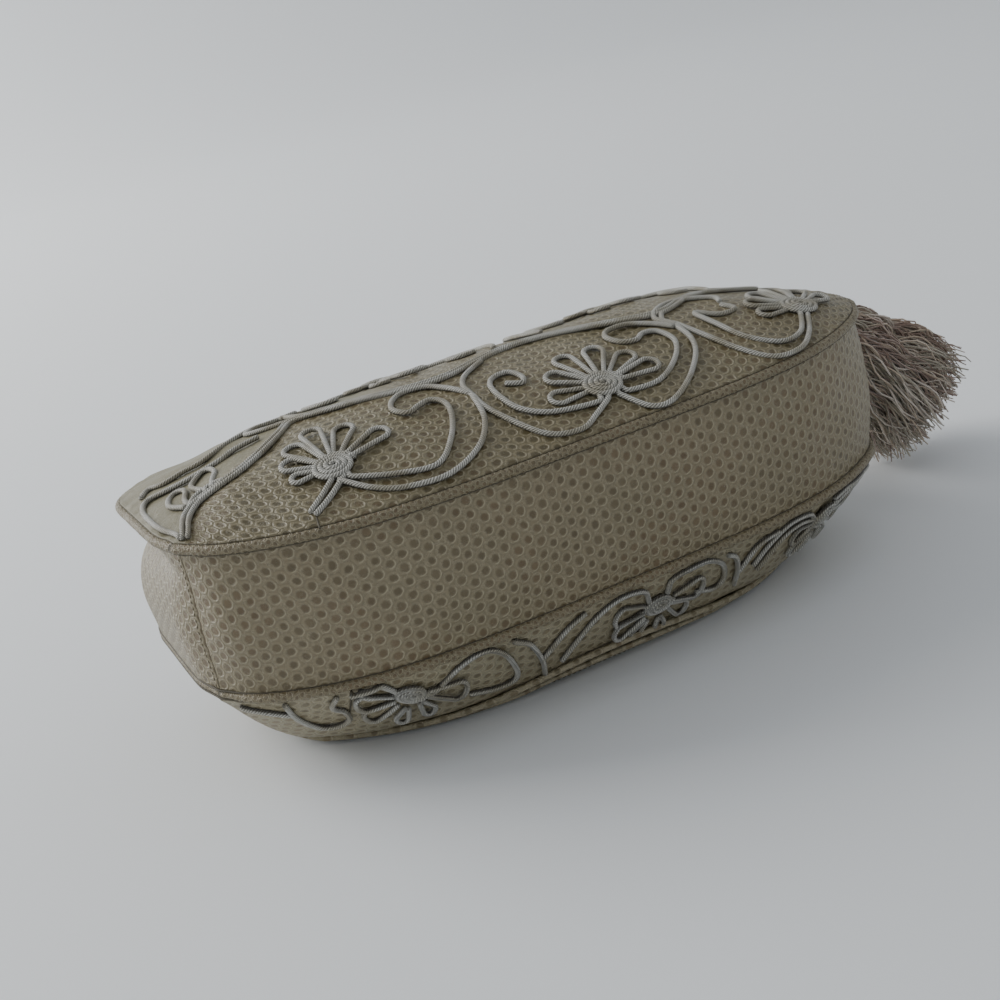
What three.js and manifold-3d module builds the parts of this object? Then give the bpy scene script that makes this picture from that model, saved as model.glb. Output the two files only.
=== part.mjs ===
// A soft leather clutch bag lying on its front face, with cord ornament and a yarn tassel.
// Millimetres. +X runs along the bag, +Y points to its mouth, +Z is up, and the origin is the middle
// of the patch that the bag rests on.
import * as THREE from 'three';
import Module from 'manifold-3d';
import { mergeVertices } from 'three/addons/utils/BufferGeometryUtils.js';

const wasm = await Module();
wasm.setup();

// Outline of the front and back panels
const BAG_WIDTH = 280;
const BOTTOM_BULGE = 39;
const BOTTOM_SQUARENESS = 4.2;
const SIDE_LENGTH = 72;
const MOUTH_CORNER_RADIUS = 26;
const MOUTH_ARCH = 7;

// Depths from the floor up
const FRONT_DEPTH = 33;
const GUSSET_WIDTH = 54;
const BACK_SWELL = 17;
const BACK_ROUNDNESS = 1.9;
const FRONT_SWELL = 60;
const FRONT_ROUNDNESS = 2;
const REST_EDGE_ROUNDING = 8;
const SPINE_SHARE = 0.3;

// Leather and seams
const PANEL_WALL = 2;
const GUSSET_WALL = 1.8;
const GUSSET_BULGE = 2.5;
const GUSSET_BOW_POWER = 8;
const PIPING_RADIUS = 1.8;
const PIPING_STANDS_OUT = 0.6;
const CLEARANCE = 0.3;

// End gussets, folded inwards
const END_FOLD_DEPTH = 12;
const END_FOLD_HEIGHT = 0.8;
const END_LOBE_POWER = 5;
const END_LOBE_BULGE = 0.15;
const END_TURN = 22;

// Flap
const FLAP_WALL = 1.6;
const FLAP_LIFT = 1.6;
const FLAP_HALF_WIDTH = 116;
const FLAP_BULGE = 5;
const FLAP_FREE_EDGE = 20;
const FLAP_SIDE_RISE = 44;
const FLAP_EDGE_POWER = 2.4;
const FLAP_PIPING_RADIUS = 1.2;
const FLAP_PIPING_TOP = 8;
const FLAP_PIPING_DROP = 1.4;
const FLAP_FOLD_OVER = 1;

// Hidden snap between flap and front panel
const SNAP_RADIUS = 9;
const SNAP_FROM_FREE_EDGE = 31;

// Cord ornament
const CORD_RADIUS = 1.1;
const CORD_SIDES = 3;
const CORD_CLEARANCE = 0.6;
const DISC_RADIUS = 8;
const DISC_TAPER = 0.8;
const PETAL_ROOT_SHARE = 0.6;
const PETAL_ROOT_HALF = 0.8;
const PETAL_WIDEST = 0.8;
const PETAL_HALF_WIDTH = 2.6;
const FIRST_FLOWER_X = -82;
const FLOWER_PITCH = 97;
const SEAM_FLOWERS = 3;
const BACK_FLOWER_FROM_SEAM = 23;
const MOUTH_FLOWER_FROM_SEAM = 26;
const FRONT_FLOWER_FROM_SEAM = 8;
const FRONT_SQUEEZE = 0.26;
const WAVE_BEFORE_FIRST = 36;
const WAVE_AFTER_LAST = 6;
const WAVE_MIDDLE = -2;
const WAVE_SWING = 12;

// Tassel
const TASSEL_LENGTH = 82;
const TASSEL_HEAD_LENGTH = 17;
const TASSEL_HEAD_RADIUS = 8;
const TASSEL_SKIRT_RADIUS = 31;
const TASSEL_LOCKS = 9;
const TASSEL_LOCK_RADIUS = 7;
const LOCK_TAPER = 0.5;
const LOCK_SWIRL = 0.2;
const LOCK_LENGTH_WAVES = 3;
const LOCK_LENGTH_SWING = 0.04;
const TASSEL_HEAD_OUT = 12;
const TASSEL_HEAD_Y = 30;
const TASSEL_HEAD_BELOW_SEAM = 9;
const TASSEL_LEAN_OUT = 46;
const TASSEL_LEAN_TO_CORNER = 15;
const TASSEL_CORD_RADIUS = 1.4;
const TASSEL_CORD_CLEAR = 2;
const TASSEL_LOW_Z = 33;

// Wear: shares lost at the mouth in height and in width, and how far the bottom corners are rubbed in
const MOUTH_SINK = 0.06;
const MOUTH_TAPER = 0.02;
const CORNER_IN = 2.7;
const CORNER_UP = 1.35;
const CORNER_REACH = 11;

// Mesh fineness
const OUTLINE_STEPS = 120;
const EDGE_STEPS = 48;
const CORNER_CROWDING = 40;
const SLOPE_STEP = 0.5;
const GUSSET_STEPS = 18;
const GUSSET_ROWS = 4;
const GUSSET_CROWDING = 1.2;
const END_ROWS = 5;
const END_COLUMNS = 9;
const FLAP_COLUMNS = 16;
const FLAP_WRAP_ROWS = 4;
const FLAP_FRONT_ROWS = 12;
const FLAP_ROW_CROWDING = 1.1;
const FLAP_PIPING_SIDE_POINTS = 4;
const FLAP_PIPING_EDGE_POINTS = 20;
const FLAP_PIPING_STEPS = 40;
const PIPING_SIDES = 5;
const PETAL_STEPS = 4;
const DISC_SIDES = 8;
const WAVE_POINTS = 26;
const WAVE_STEPS = 26;
const SKIRT_SIDES = 8;
const LOCK_SIDES = 5;
const SNAP_SIDES = 16;

const SHOULDER = BAG_WIDTH / 2 - MOUTH_CORNER_RADIUS;
const HALF_WIDTH = BAG_WIDTH / 2;
const PANEL_HEIGHT = SIDE_LENGTH + MOUTH_CORNER_RADIUS + MOUTH_ARCH + BOTTOM_BULGE;
const CORNER_Y = BOTTOM_BULGE - PANEL_HEIGHT / 2;
const SEAM_GAP = PIPING_RADIUS + CLEARANCE;
const FRONT_REST_Z = FLAP_WALL + FLAP_LIFT;
const FRONT_RIM_Z = FRONT_REST_Z + FRONT_DEPTH;
const FRONT_SEAM_Z = FRONT_RIM_Z + SEAM_GAP;
const BACK_SEAM_Z = FRONT_SEAM_Z + GUSSET_WIDTH;
const BACK_RIM_Z = BACK_SEAM_Z + SEAM_GAP;
const LAST_FLOWER_X = FIRST_FLOWER_X + (SEAM_FLOWERS - 1) * FLOWER_PITCH;

const SKIN = { color: 0x8c8373, roughness: 0.5, metalness: 0 };
const CORD = { color: 0xa9a9a3, roughness: 0.6, metalness: 0 };
const YARN = { color: 0x7d6f66, roughness: 0.95, metalness: 0 };
const METAL = { color: 0x9a948a, roughness: 0.35, metalness: 1 };

const bag = new THREE.Group();

// The worn bag is thinner and narrower at its mouth, and its two bottom corners are rubbed round
function settled(geometry) {
  const places = geometry.getAttribute('position');
  for (let i = 0; i < places.count; i += 1) {
    const point = new THREE.Vector3().fromBufferAttribute(places, i);
    const far = THREE.MathUtils.smoothstep(point.y, CORNER_Y, mouthY(0));
    const away = Math.hypot(Math.abs(point.x) - HALF_WIDTH, point.y - CORNER_Y);
    const pull = Math.exp(-((away / CORNER_REACH) ** 2));
    const x = point.x * (1 - MOUTH_TAPER * far) - Math.sign(point.x) * CORNER_IN * pull;
    places.setXYZ(i, x, point.y + CORNER_UP * pull, point.z * (1 - MOUTH_SINK * far));
  }
  return geometry;
}

function addPiece(name, geometry, look) {
  const piece = new THREE.Mesh(settled(geometry), new THREE.MeshStandardMaterial(look));
  piece.name = name;
  bag.add(piece);
}

// Height of the bottom seam over a point across the bag
function bottomY(x) {
  return CORNER_Y - BOTTOM_BULGE * (1 - Math.abs(x / HALF_WIDTH) ** BOTTOM_SQUARENESS);
}

// Height of the mouth edge: a low arch with a round corner at each end
function mouthY(x) {
  const sideTop = CORNER_Y + SIDE_LENGTH;
  const past = Math.min(Math.abs(x), HALF_WIDTH) - SHOULDER;
  if (past > 0) {
    return sideTop + Math.sqrt(Math.max(MOUTH_CORNER_RADIUS ** 2 - past ** 2, 0));
  }
  return sideTop + MOUTH_CORNER_RADIUS + MOUTH_ARCH * (1 - (x / SHOULDER) ** 2);
}

// Half width of the panels at a height, up the straight side and round the mouth corner
function sideX(y) {
  const past = y - CORNER_Y - SIDE_LENGTH;
  if (past <= 0) {
    return HALF_WIDTH;
  }
  return SHOULDER + Math.sqrt(MOUTH_CORNER_RADIUS ** 2 - Math.min(past, MOUTH_CORNER_RADIUS) ** 2);
}

// Points picked along a closed line, closer together where it turns
function crowdedPoints(line, count) {
  const reach = [0];
  for (let i = 0; i < line.length; i += 1) {
    const here = line[i];
    const next = line[(i + 1) % line.length];
    const after = line[(i + 2) % line.length];
    const turn = next.clone().sub(here).angleTo(after.clone().sub(next));
    reach.push(reach[i] + here.distanceTo(next) + CORNER_CROWDING * turn);
  }
  const whole = reach[line.length];
  return Array.from({ length: count }, (_, k) => {
    const wanted = whole * k / count;
    const i = reach.findIndex((value) => value > wanted) - 1;
    const share = (wanted - reach[i]) / (reach[i + 1] - reach[i]);
    return line[i].clone().lerp(line[(i + 1) % line.length], share);
  });
}

// The whole panel edge, anticlockwise from the middle of the bottom
function panelEdge(steps, out = 0) {
  const half = [];
  for (let i = 0; i < OUTLINE_STEPS; i += 1) {
    const x = HALF_WIDTH * i / OUTLINE_STEPS;
    half.push(new THREE.Vector3(x, bottomY(x), 0));
  }
  for (let i = 0; i < OUTLINE_STEPS; i += 1) {
    half.push(new THREE.Vector3(HALF_WIDTH, CORNER_Y + SIDE_LENGTH * i / OUTLINE_STEPS, 0));
  }
  for (let i = 0; i < OUTLINE_STEPS; i += 1) {
    const turn = Math.PI * i / (2 * OUTLINE_STEPS);
    const x = SHOULDER + MOUTH_CORNER_RADIUS * Math.cos(turn);
    half.push(new THREE.Vector3(x, mouthY(x), 0));
  }
  for (let i = OUTLINE_STEPS; i > 0; i -= 1) {
    const x = SHOULDER * i / OUTLINE_STEPS;
    half.push(new THREE.Vector3(x, mouthY(x), 0));
  }
  const mirrored = half.slice(1).reverse().map((p) => new THREE.Vector3(-p.x, p.y, 0));
  const top = new THREE.Vector3(0, mouthY(0), 0);
  const points = crowdedPoints([...half, top, ...mirrored], steps);
  return points.map((point, i) => {
    const along = points[(i + 1) % steps].clone().sub(points[(i + steps - 1) % steps]).normalize();
    return new THREE.Vector3(point.x + along.y * out, point.y - along.x * out, 0);
  });
}

// How far out a point of the panel lies: 0 on the spine, 1 on the edge
function panelShare(x, y) {
  const edgeY = (edgeX) => Math.abs(y > 0 ? mouthY(edgeX) : bottomY(edgeX));
  const spread = (share) => SPINE_SHARE + share * (1 - SPINE_SHARE);
  const within = (share) => Math.abs(y) <= share * edgeY(x / spread(share));
  let low = Math.max((Math.abs(x) / HALF_WIDTH - SPINE_SHARE) / (1 - SPINE_SHARE), 0);
  if (low > 0 && within(low)) {
    return Math.min(low, 1);
  }
  let high = 1;
  for (let i = 0; i < 40; i += 1) {
    const middle = (low + high) / 2;
    if (within(middle)) {
      high = middle;
    } else {
      low = middle;
    }
  }
  return high;
}

const backHeight = (share) => BACK_RIM_Z + BACK_SWELL * (1 - share ** BACK_ROUNDNESS);

// The front swells more than the back, and is pressed flat where it rests, with a rounded turn
function frontHeight(share) {
  const swell = FRONT_SWELL * (1 - share ** FRONT_ROUNDNESS);
  const short = FRONT_DEPTH + REST_EDGE_ROUNDING - swell;
  if (short <= 0) {
    return FRONT_RIM_Z - FRONT_DEPTH;
  }
  if (short >= 2 * REST_EDGE_ROUNDING) {
    return FRONT_RIM_Z - swell;
  }
  return FRONT_RIM_Z - FRONT_DEPTH + short ** 2 / (4 * REST_EDGE_ROUNDING);
}

// A point over a panel's outer face, lifted along the face's own normal
function overPanel(height, up, x, y, lift) {
  const z = (px, py) => height(panelShare(px, py));
  const slopeX = (z(x + SLOPE_STEP, y) - z(x - SLOPE_STEP, y)) / (2 * SLOPE_STEP);
  const slopeY = (z(x, y + SLOPE_STEP) - z(x, y - SLOPE_STEP)) / (2 * SLOPE_STEP);
  const normal = new THREE.Vector3(-slopeX * up, -slopeY * up, up).normalize();
  return new THREE.Vector3(x, y, z(x, y)).addScaledVector(normal, lift);
}

const overBack = (x, y, lift) => overPanel(backHeight, 1, x, y, lift);
const overFront = (x, y, lift) => overPanel(frontHeight, -1, x, y, lift);

// Triangles from a list of points, turned so that they face out
function closedGeometry(points, triangles) {
  let volume = 0;
  for (const [a, b, c] of triangles) {
    volume += points[a].dot(points[b].clone().cross(points[c]));
  }
  const turned = volume < 0 ? triangles.map(([a, b, c]) => [a, c, b]) : triangles;
  const geometry = new THREE.BufferGeometry();
  geometry.setAttribute('position', new THREE.Float32BufferAttribute(points.flatMap((p) => [p.x, p.y, p.z]), 3));
  geometry.setIndex(turned.flat());
  return geometry;
}

// Unit normals of a grid of points, from its neighbours
function gridNormals(grid, loops) {
  const rows = grid.length;
  const columns = grid[0].length;
  return grid.map((row, j) => row.map((_, i) => {
    const next = loops ? (i + 1) % columns : Math.min(i + 1, columns - 1);
    const last = loops ? (i + columns - 1) % columns : Math.max(i - 1, 0);
    const along = row[next].clone().sub(row[last]);
    const across = grid[Math.min(j + 1, rows - 1)][i].clone().sub(grid[Math.max(j - 1, 0)][i]);
    return along.cross(across).normalize();
  }));
}

// A leather wall between two grids of points, closed round its edges
function wallSolid(outer, inner, loops, fillCentre = false) {
  const rows = outer.length;
  const columns = outer[0].length;
  const points = [...outer.flat(), ...inner.flat()];
  const innerStart = rows * columns;
  const triangles = [];
  const quad = (a, b, c, d) => triangles.push([a, b, c], [a, c, d]);
  const lastColumn = loops ? columns : columns - 1;
  for (let j = 0; j < rows - 1; j += 1) {
    for (let i = 0; i < lastColumn; i += 1) {
      const next = (i + 1) % columns;
      const corners = [j * columns + i, j * columns + next, (j + 1) * columns + next, (j + 1) * columns + i];
      quad(...corners);
      quad(...corners.map((corner) => corner + innerStart).reverse());
    }
  }
  for (let i = 0; i < lastColumn; i += 1) {
    const next = (i + 1) % columns;
    quad(next, i, i + innerStart, next + innerStart);
    if (!fillCentre) {
      const top = (rows - 1) * columns;
      quad(top + i, top + next, top + next + innerStart, top + i + innerStart);
    }
  }
  if (!loops) {
    for (let j = 0; j < rows - 1; j += 1) {
      const first = j * columns;
      const end = first + columns - 1;
      quad(first, first + columns, first + columns + innerStart, first + innerStart);
      quad(end + columns, end, end + innerStart, end + columns + innerStart);
    }
  }
  if (fillCentre) {
    const top = (rows - 1) * columns;
    const loop = outer[rows - 1].map((p) => new THREE.Vector2(p.x, p.y));
    for (const [a, b, c] of THREE.ShapeUtils.triangulateShape(loop, [])) {
      triangles.push([top + a, top + b, top + c]);
      triangles.push([innerStart + top + c, innerStart + top + b, innerStart + top + a]);
    }
  }
  return closedGeometry(points, triangles);
}

// A domed panel: rings from its edge in to the spine, and the same rings one wall further in
function panelSolid(height, up, shares) {
  const edge = panelEdge(EDGE_STEPS);
  const outer = shares.map((share) => edge.map((point) => new THREE.Vector3(
    point.x * (SPINE_SHARE + share * (1 - SPINE_SHARE)), point.y * share, height(share))));
  const normals = gridNormals(outer, true);
  const inner = outer.map((row, j) => row.map((point, i) => {
    const normal = normals[j][i].multiplyScalar(Math.sign(normals[j][i].z) * up);
    if (j === 0) {
      const flat = new THREE.Vector3(normal.x, normal.y, 0).normalize();
      return point.clone().addScaledVector(flat, -PANEL_WALL);
    }
    return point.clone().addScaledVector(normal, -PANEL_WALL);
  }));
  return wallSolid(outer, inner, true, true);
}

// A round welt that follows the panel edge
function pipingSolid(z) {
  const edge = panelEdge(EDGE_STEPS, PIPING_STANDS_OUT);
  const rings = edge.map((point, i) => {
    const along = edge[(i + 1) % EDGE_STEPS].clone().sub(edge[(i + EDGE_STEPS - 1) % EDGE_STEPS]).normalize();
    const out = new THREE.Vector3(along.y, -along.x, 0);
    return Array.from({ length: PIPING_SIDES }, (_, k) => {
      const turn = 2 * Math.PI * k / PIPING_SIDES;
      return point.clone().addScaledVector(out, PIPING_RADIUS * Math.cos(turn))
        .setZ(z + PIPING_RADIUS * Math.sin(turn));
    });
  });
  const triangles = [];
  for (let i = 0; i < EDGE_STEPS; i += 1) {
    for (let k = 0; k < PIPING_SIDES; k += 1) {
      const here = i * PIPING_SIDES;
      const next = ((i + 1) % EDGE_STEPS) * PIPING_SIDES;
      const turn = (k + 1) % PIPING_SIDES;
      triangles.push([here + k, next + k, next + turn], [here + k, next + turn, here + turn]);
    }
  }
  return closedGeometry(rings.flat(), triangles);
}

// The long bottom gusset, bowed out a little between its two seams
function bottomGussetSolid() {
  const low = FRONT_SEAM_Z + SEAM_GAP;
  const high = BACK_SEAM_Z - SEAM_GAP;
  const spread = Array.from({ length: GUSSET_STEPS + 1 }, (_, i) => (
    Math.sin(GUSSET_CROWDING * (2 * i / GUSSET_STEPS - 1)) / Math.sin(GUSSET_CROWDING)));
  const outward = (x) => {
    const inside = THREE.MathUtils.clamp(x, 2 * SLOPE_STEP - HALF_WIDTH, HALF_WIDTH - 2 * SLOPE_STEP);
    const rise = (bottomY(inside + SLOPE_STEP) - bottomY(inside - SLOPE_STEP)) / (2 * SLOPE_STEP);
    return new THREE.Vector3(rise, -1, 0).normalize();
  };
  const outer = [];
  const inner = [];
  for (let j = 0; j <= GUSSET_ROWS; j += 1) {
    const bulge = GUSSET_BULGE * Math.sin(Math.PI * j / GUSSET_ROWS);
    const z = low + (high - low) * j / GUSSET_ROWS;
    outer.push([]);
    inner.push([]);
    spread.forEach((share, i) => {
      const x = HALF_WIDTH * share;
      const mitred = i === 0 || i === GUSSET_STEPS;
      const normal = outward(x);
      const swell = bulge * (1 - share ** GUSSET_BOW_POWER);
      const point = new THREE.Vector3(x, bottomY(x), z).addScaledVector(normal, swell);
      outer[j].push(point);
      const moved = point.clone().addScaledVector(normal, -GUSSET_WALL);
      inner[j].push(mitred
        ? new THREE.Vector3(x - GUSSET_WALL / normal.x, point.y, z)
        : moved.setY(Math.min(moved.y, CORNER_Y)));
    });
  }
  return wallSolid(outer, inner, false);
}

// Half width of the end gusset's outer face: a full lobe, then a fold that sinks inwards towards the mouth
function endGussetX(y, z) {
  const up = (z - FRONT_SEAM_Z - SEAM_GAP) / (GUSSET_WIDTH - 2 * SEAM_GAP);
  const lobe = THREE.MathUtils.clamp(up / END_FOLD_HEIGHT, 0, 1);
  const lower = lobe ** END_LOBE_POWER - END_LOBE_BULGE * Math.sin(Math.PI * lobe);
  const crease = up < END_FOLD_HEIGHT ? lower : (1 - up) / (1 - END_FOLD_HEIGHT);
  const along = (y - CORNER_Y) / (SIDE_LENGTH + END_TURN);
  return sideX(y) - END_FOLD_DEPTH * crease * Math.sin(Math.PI / 2 * along);
}

// One end gusset: a wall up the side between the two seams
function endGussetSolid(side) {
  const low = FRONT_SEAM_Z + SEAM_GAP;
  const high = BACK_SEAM_Z - SEAM_GAP;
  const start = CORNER_Y + CLEARANCE;
  const length = SIDE_LENGTH + END_TURN - CLEARANCE;
  const outer = [];
  for (let j = 0; j <= END_ROWS; j += 1) {
    const z = low + (high - low) * j / END_ROWS;
    outer.push([]);
    for (let i = 0; i <= END_COLUMNS; i += 1) {
      const y = start + length * i / END_COLUMNS;
      outer[j].push(new THREE.Vector3(side * endGussetX(y, z), y, z));
    }
  }
  const normals = gridNormals(outer, false);
  const inner = outer.map((row, j) => row.map((point, i) => {
    const normal = normals[j][i].multiplyScalar(Math.sign(normals[j][i].x) * side);
    const moved = point.clone().addScaledVector(normal, -GUSSET_WALL);
    if (i === 0) {
      moved.setY(point.y);
    }
    if (j === 0 || j === END_ROWS) {
      moved.setZ(point.z);
    }
    return moved;
  }));
  return wallSolid(outer, inner, false);
}

// Height of the flap's free edge
function flapEdgeY(x) {
  return bottomY(0) + FLAP_FREE_EDGE + FLAP_SIDE_RISE * Math.abs(x / FLAP_HALF_WIDTH) ** FLAP_EDGE_POWER;
}

// The flap: from under the back seam, round the mouth, and down over the front panel
function flapSolid() {
  const across = Array.from({ length: FLAP_COLUMNS + 1 }, (_, i) => (
    FLAP_HALF_WIDTH * (2 * i / FLAP_COLUMNS - 1)));
  const lift = FLAP_LIFT + FLAP_WALL;
  const hingeZ = BACK_SEAM_Z - SEAM_GAP;
  const seamOut = PIPING_STANDS_OUT + PIPING_RADIUS + CLEARANCE + FLAP_WALL;
  const outer = [];
  for (let j = 0; j <= FLAP_WRAP_ROWS; j += 1) {
    const down = j / FLAP_WRAP_ROWS;
    const out = FLAP_WALL / 2 + (seamOut - FLAP_WALL / 2) * down + FLAP_BULGE * Math.sin(Math.PI * down);
    const z = hingeZ + (FRONT_RIM_Z - hingeZ) * down;
    outer.push(across.map((x) => new THREE.Vector3(x, mouthY(x) + out, z)));
  }
  for (let j = 1; j <= FLAP_FRONT_ROWS; j += 1) {
    const down = (j / FLAP_FRONT_ROWS) ** FLAP_ROW_CROWDING;
    outer.push(across.map((x) => {
      const top = mouthY(x) - FLAP_FOLD_OVER;
      return overFront(x, top + (flapEdgeY(x) - top) * down, lift);
    }));
  }
  const normals = gridNormals(outer, false);
  const inner = outer.map((row, j) => row.map((point, i) => {
    const normal = normals[j][i];
    return point.clone().addScaledVector(normal, -FLAP_WALL);
  }));
  return wallSolid(outer, inner, false);
}

// A solid that can be cut and joined, from any closed geometry
function toManifold(geometry) {
  const plain = geometry.clone();
  plain.deleteAttribute('normal');
  plain.deleteAttribute('uv');
  const merged = mergeVertices(plain, 1e-4);
  return new wasm.Manifold(new wasm.Mesh({
    numProp: 3,
    vertProperties: new Float32Array(merged.attributes.position.array),
    triVerts: new Uint32Array(merged.index.array),
  }));
}

function toGeometry(solid) {
  const mesh = solid.getMesh();
  const geometry = new THREE.BufferGeometry();
  geometry.setAttribute('position', new THREE.BufferAttribute(new Float32Array(mesh.vertProperties), 3));
  geometry.setIndex(new THREE.BufferAttribute(new Uint32Array(mesh.triVerts), 1));
  return geometry;
}

function joined(geometries) {
  return toGeometry(geometries.map(toManifold).reduce((whole, next) => whole.add(next)));
}

// A round cord through a list of points
function cordSolid(points, radius, sides, steps) {
  const section = new THREE.Shape(Array.from({ length: sides }, (_, k) => {
    const turn = 2 * Math.PI * k / sides;
    return new THREE.Vector2(radius * Math.cos(turn), radius * Math.sin(turn));
  }));
  const path = new THREE.CatmullRomCurve3(points, false, 'centripetal');
  return new THREE.ExtrudeGeometry(section, { steps, extrudePath: path, bevelEnabled: false });
}

// The turned and piped edge of the flap, down one side, along the free edge and up the other
function flapPipingSolid() {
  const out = FLAP_PIPING_RADIUS + 2 * CLEARANCE;
  const lift = FLAP_PIPING_RADIUS + 2 * CLEARANCE;
  const top = mouthY(FLAP_HALF_WIDTH) - FLAP_PIPING_TOP;
  const low = flapEdgeY(FLAP_HALF_WIDTH);
  const down = (side) => Array.from({ length: FLAP_PIPING_SIDE_POINTS }, (_, i) => (
    overFront(side * (FLAP_HALF_WIDTH + out), top + (low - top) * i / FLAP_PIPING_SIDE_POINTS, lift)));
  const along = Array.from({ length: FLAP_PIPING_EDGE_POINTS + 1 }, (_, i) => {
    const x = (FLAP_HALF_WIDTH + out) * (2 * i / FLAP_PIPING_EDGE_POINTS - 1);
    return overFront(x, flapEdgeY(x) - out * FLAP_PIPING_DROP, lift);
  });
  const points = [...down(-1), ...along, ...down(1).reverse()];
  return cordSolid(points, FLAP_PIPING_RADIUS, PIPING_SIDES, FLAP_PIPING_STEPS);
}

// The ornament: each row is a point of a cord, across the bag and away from the seam, as shares of the
// flower pitch
const OUTGOING_INNER = [
  { across: 0.03, up: -0.04 }, { across: 0.18, up: -0.14 }, { across: 0.31, up: -0.13 },
  { across: 0.41, up: -0.02 }, { across: 0.45, up: 0.11 }, { across: 0.41, up: 0.2 },
  { across: 0.34, up: 0.18 }, { across: 0.33, up: 0.26 }, { across: 0.39, up: 0.31 },
  { across: 0.47, up: 0.28 }, { across: 0.55, up: 0.15 },
];
const OUTGOING_OUTER = [
  { across: 0, up: -0.04 }, { across: 0.08, up: -0.18 }, { across: 0.23, up: -0.22 },
  { across: 0.39, up: -0.18 }, { across: 0.51, up: -0.04 }, { across: 0.55, up: 0.12 },
];
const INCOMING_INNER = [
  { across: -0.41, up: 0.21 }, { across: -0.34, up: 0.1 }, { across: -0.28, up: 0 },
  { across: -0.18, up: -0.07 }, { across: -0.03, up: -0.04 },
];
const INCOMING_OUTER = [
  { across: -0.41, up: 0.13 }, { across: -0.39, up: 0 }, { across: -0.31, up: -0.12 },
  { across: -0.21, up: -0.15 }, { across: -0.1, up: -0.12 }, { across: -0.02, up: -0.04 },
];
const TAIL = [{ across: -0.02, up: -0.03 }, { across: -0.09, up: -0.1 }, { across: -0.15, up: -0.14 }];

// Petals: their turn in degrees and their reach as a share of the flower pitch
const PETALS = [
  { turn: 20, reach: 0.23 },
  { turn: 46, reach: 0.26 },
  { turn: 72, reach: 0.28 },
  { turn: 98, reach: 0.28 },
  { turn: 124, reach: 0.27 },
  { turn: 150, reach: 0.25 },
];

// One flower with its scrolls, laid over a face of the bag
function flowerSolid({ over, x, y, away, squeeze, scrolls }) {
  const lift = CORD_RADIUS + CORD_CLEARANCE;
  const place = (across, up) => over(x + across, y + away * up * squeeze, lift);
  const cords = scrolls.map((rows) => {
    const points = rows.map((row) => place(row.across * FLOWER_PITCH, row.up * FLOWER_PITCH));
    return cordSolid(points, CORD_RADIUS, CORD_SIDES, rows.length);
  });
  for (const petal of PETALS) {
    const turn = THREE.MathUtils.degToRad(petal.turn);
    const tip = petal.reach * FLOWER_PITCH;
    const root = DISC_RADIUS * PETAL_ROOT_SHARE;
    const spoke = (reach, half) => place(
      reach * Math.cos(turn) - half * Math.sin(turn), reach * Math.sin(turn) + half * Math.cos(turn));
    const loop = [
      spoke(root, PETAL_ROOT_HALF), spoke(tip * PETAL_WIDEST, PETAL_HALF_WIDTH), spoke(tip, 0),
      spoke(tip * PETAL_WIDEST, -PETAL_HALF_WIDTH), spoke(root, -PETAL_ROOT_HALF)];
    cords.push(cordSolid(loop, CORD_RADIUS, CORD_SIDES, PETAL_STEPS));
  }
  const disc = new THREE.CylinderGeometry(DISC_RADIUS * DISC_TAPER, DISC_RADIUS, 2 * CORD_RADIUS, DISC_SIDES);
  const centre = over(x, y, lift);
  const normal = over(x, y, lift + 1).sub(centre).normalize();
  disc.applyQuaternion(new THREE.Quaternion().setFromUnitVectors(new THREE.Vector3(0, 1, 0), normal));
  disc.translate(centre.x, centre.y, centre.z);
  cords.push(disc);
  return joined(cords);
}

// The tassel's head, as shares of its own radius and length
const HEAD_SECTIONS = [
  { radius: 0, down: 0 },
  { radius: 0.5, down: 0 },
  { radius: 1, down: 0.3 },
  { radius: 0.9, down: 0.7 },
  { radius: 0.7, down: 1 },
];

// The tassel's skirt, as shares of its own radius and of the whole length
const SKIRT_SECTIONS = [
  { radius: 0.55, down: 0.4 },
  { radius: 0.85, down: 0.75 },
  { radius: 0.8, down: 0.9 },
  { radius: 0, down: 0.86 },
];

// Where each lock leaves the skirt and where it ends, as shares of the same two sizes
const LOCK_ROOT = { radius: 0.5, down: 0.45 };
const LOCK_TIP = { radius: 0.88, down: 0.97 };

// The tassel: a bound head and a skirt of yarn in locks, in one solid
function tasselSolid() {
  const head = HEAD_SECTIONS.map(({ radius, down }) => (
    new THREE.Vector2(radius * TASSEL_HEAD_RADIUS, down * TASSEL_HEAD_LENGTH)));
  const skirt = SKIRT_SECTIONS.map(({ radius, down }) => (
    new THREE.Vector2(radius * TASSEL_SKIRT_RADIUS, down * TASSEL_LENGTH)));
  const onSkirt = (place, turn, down) => new THREE.Vector3(
    TASSEL_SKIRT_RADIUS * place.radius * Math.cos(turn), TASSEL_LENGTH * down,
    TASSEL_SKIRT_RADIUS * place.radius * Math.sin(turn));
  const parts = [new THREE.LatheGeometry([...head, ...skirt], SKIRT_SIDES)];
  for (let k = 0; k < TASSEL_LOCKS; k += 1) {
    const turn = 2 * Math.PI * k / TASSEL_LOCKS;
    const longer = LOCK_LENGTH_SWING * Math.sin(LOCK_LENGTH_WAVES * turn + 1);
    const start = onSkirt(LOCK_ROOT, turn, LOCK_ROOT.down);
    const end = onSkirt(LOCK_TIP, turn + LOCK_SWIRL, LOCK_TIP.down + longer);
    const lock = new THREE.CylinderGeometry(
      TASSEL_LOCK_RADIUS * LOCK_TAPER, TASSEL_LOCK_RADIUS, start.distanceTo(end), LOCK_SIDES);
    const along = end.clone().sub(start).normalize();
    lock.applyQuaternion(new THREE.Quaternion().setFromUnitVectors(new THREE.Vector3(0, 1, 0), along));
    const middle = start.add(end).multiplyScalar(0.5);
    lock.translate(middle.x, middle.y, middle.z);
    parts.push(lock);
  }
  return joined(parts);
}

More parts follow.
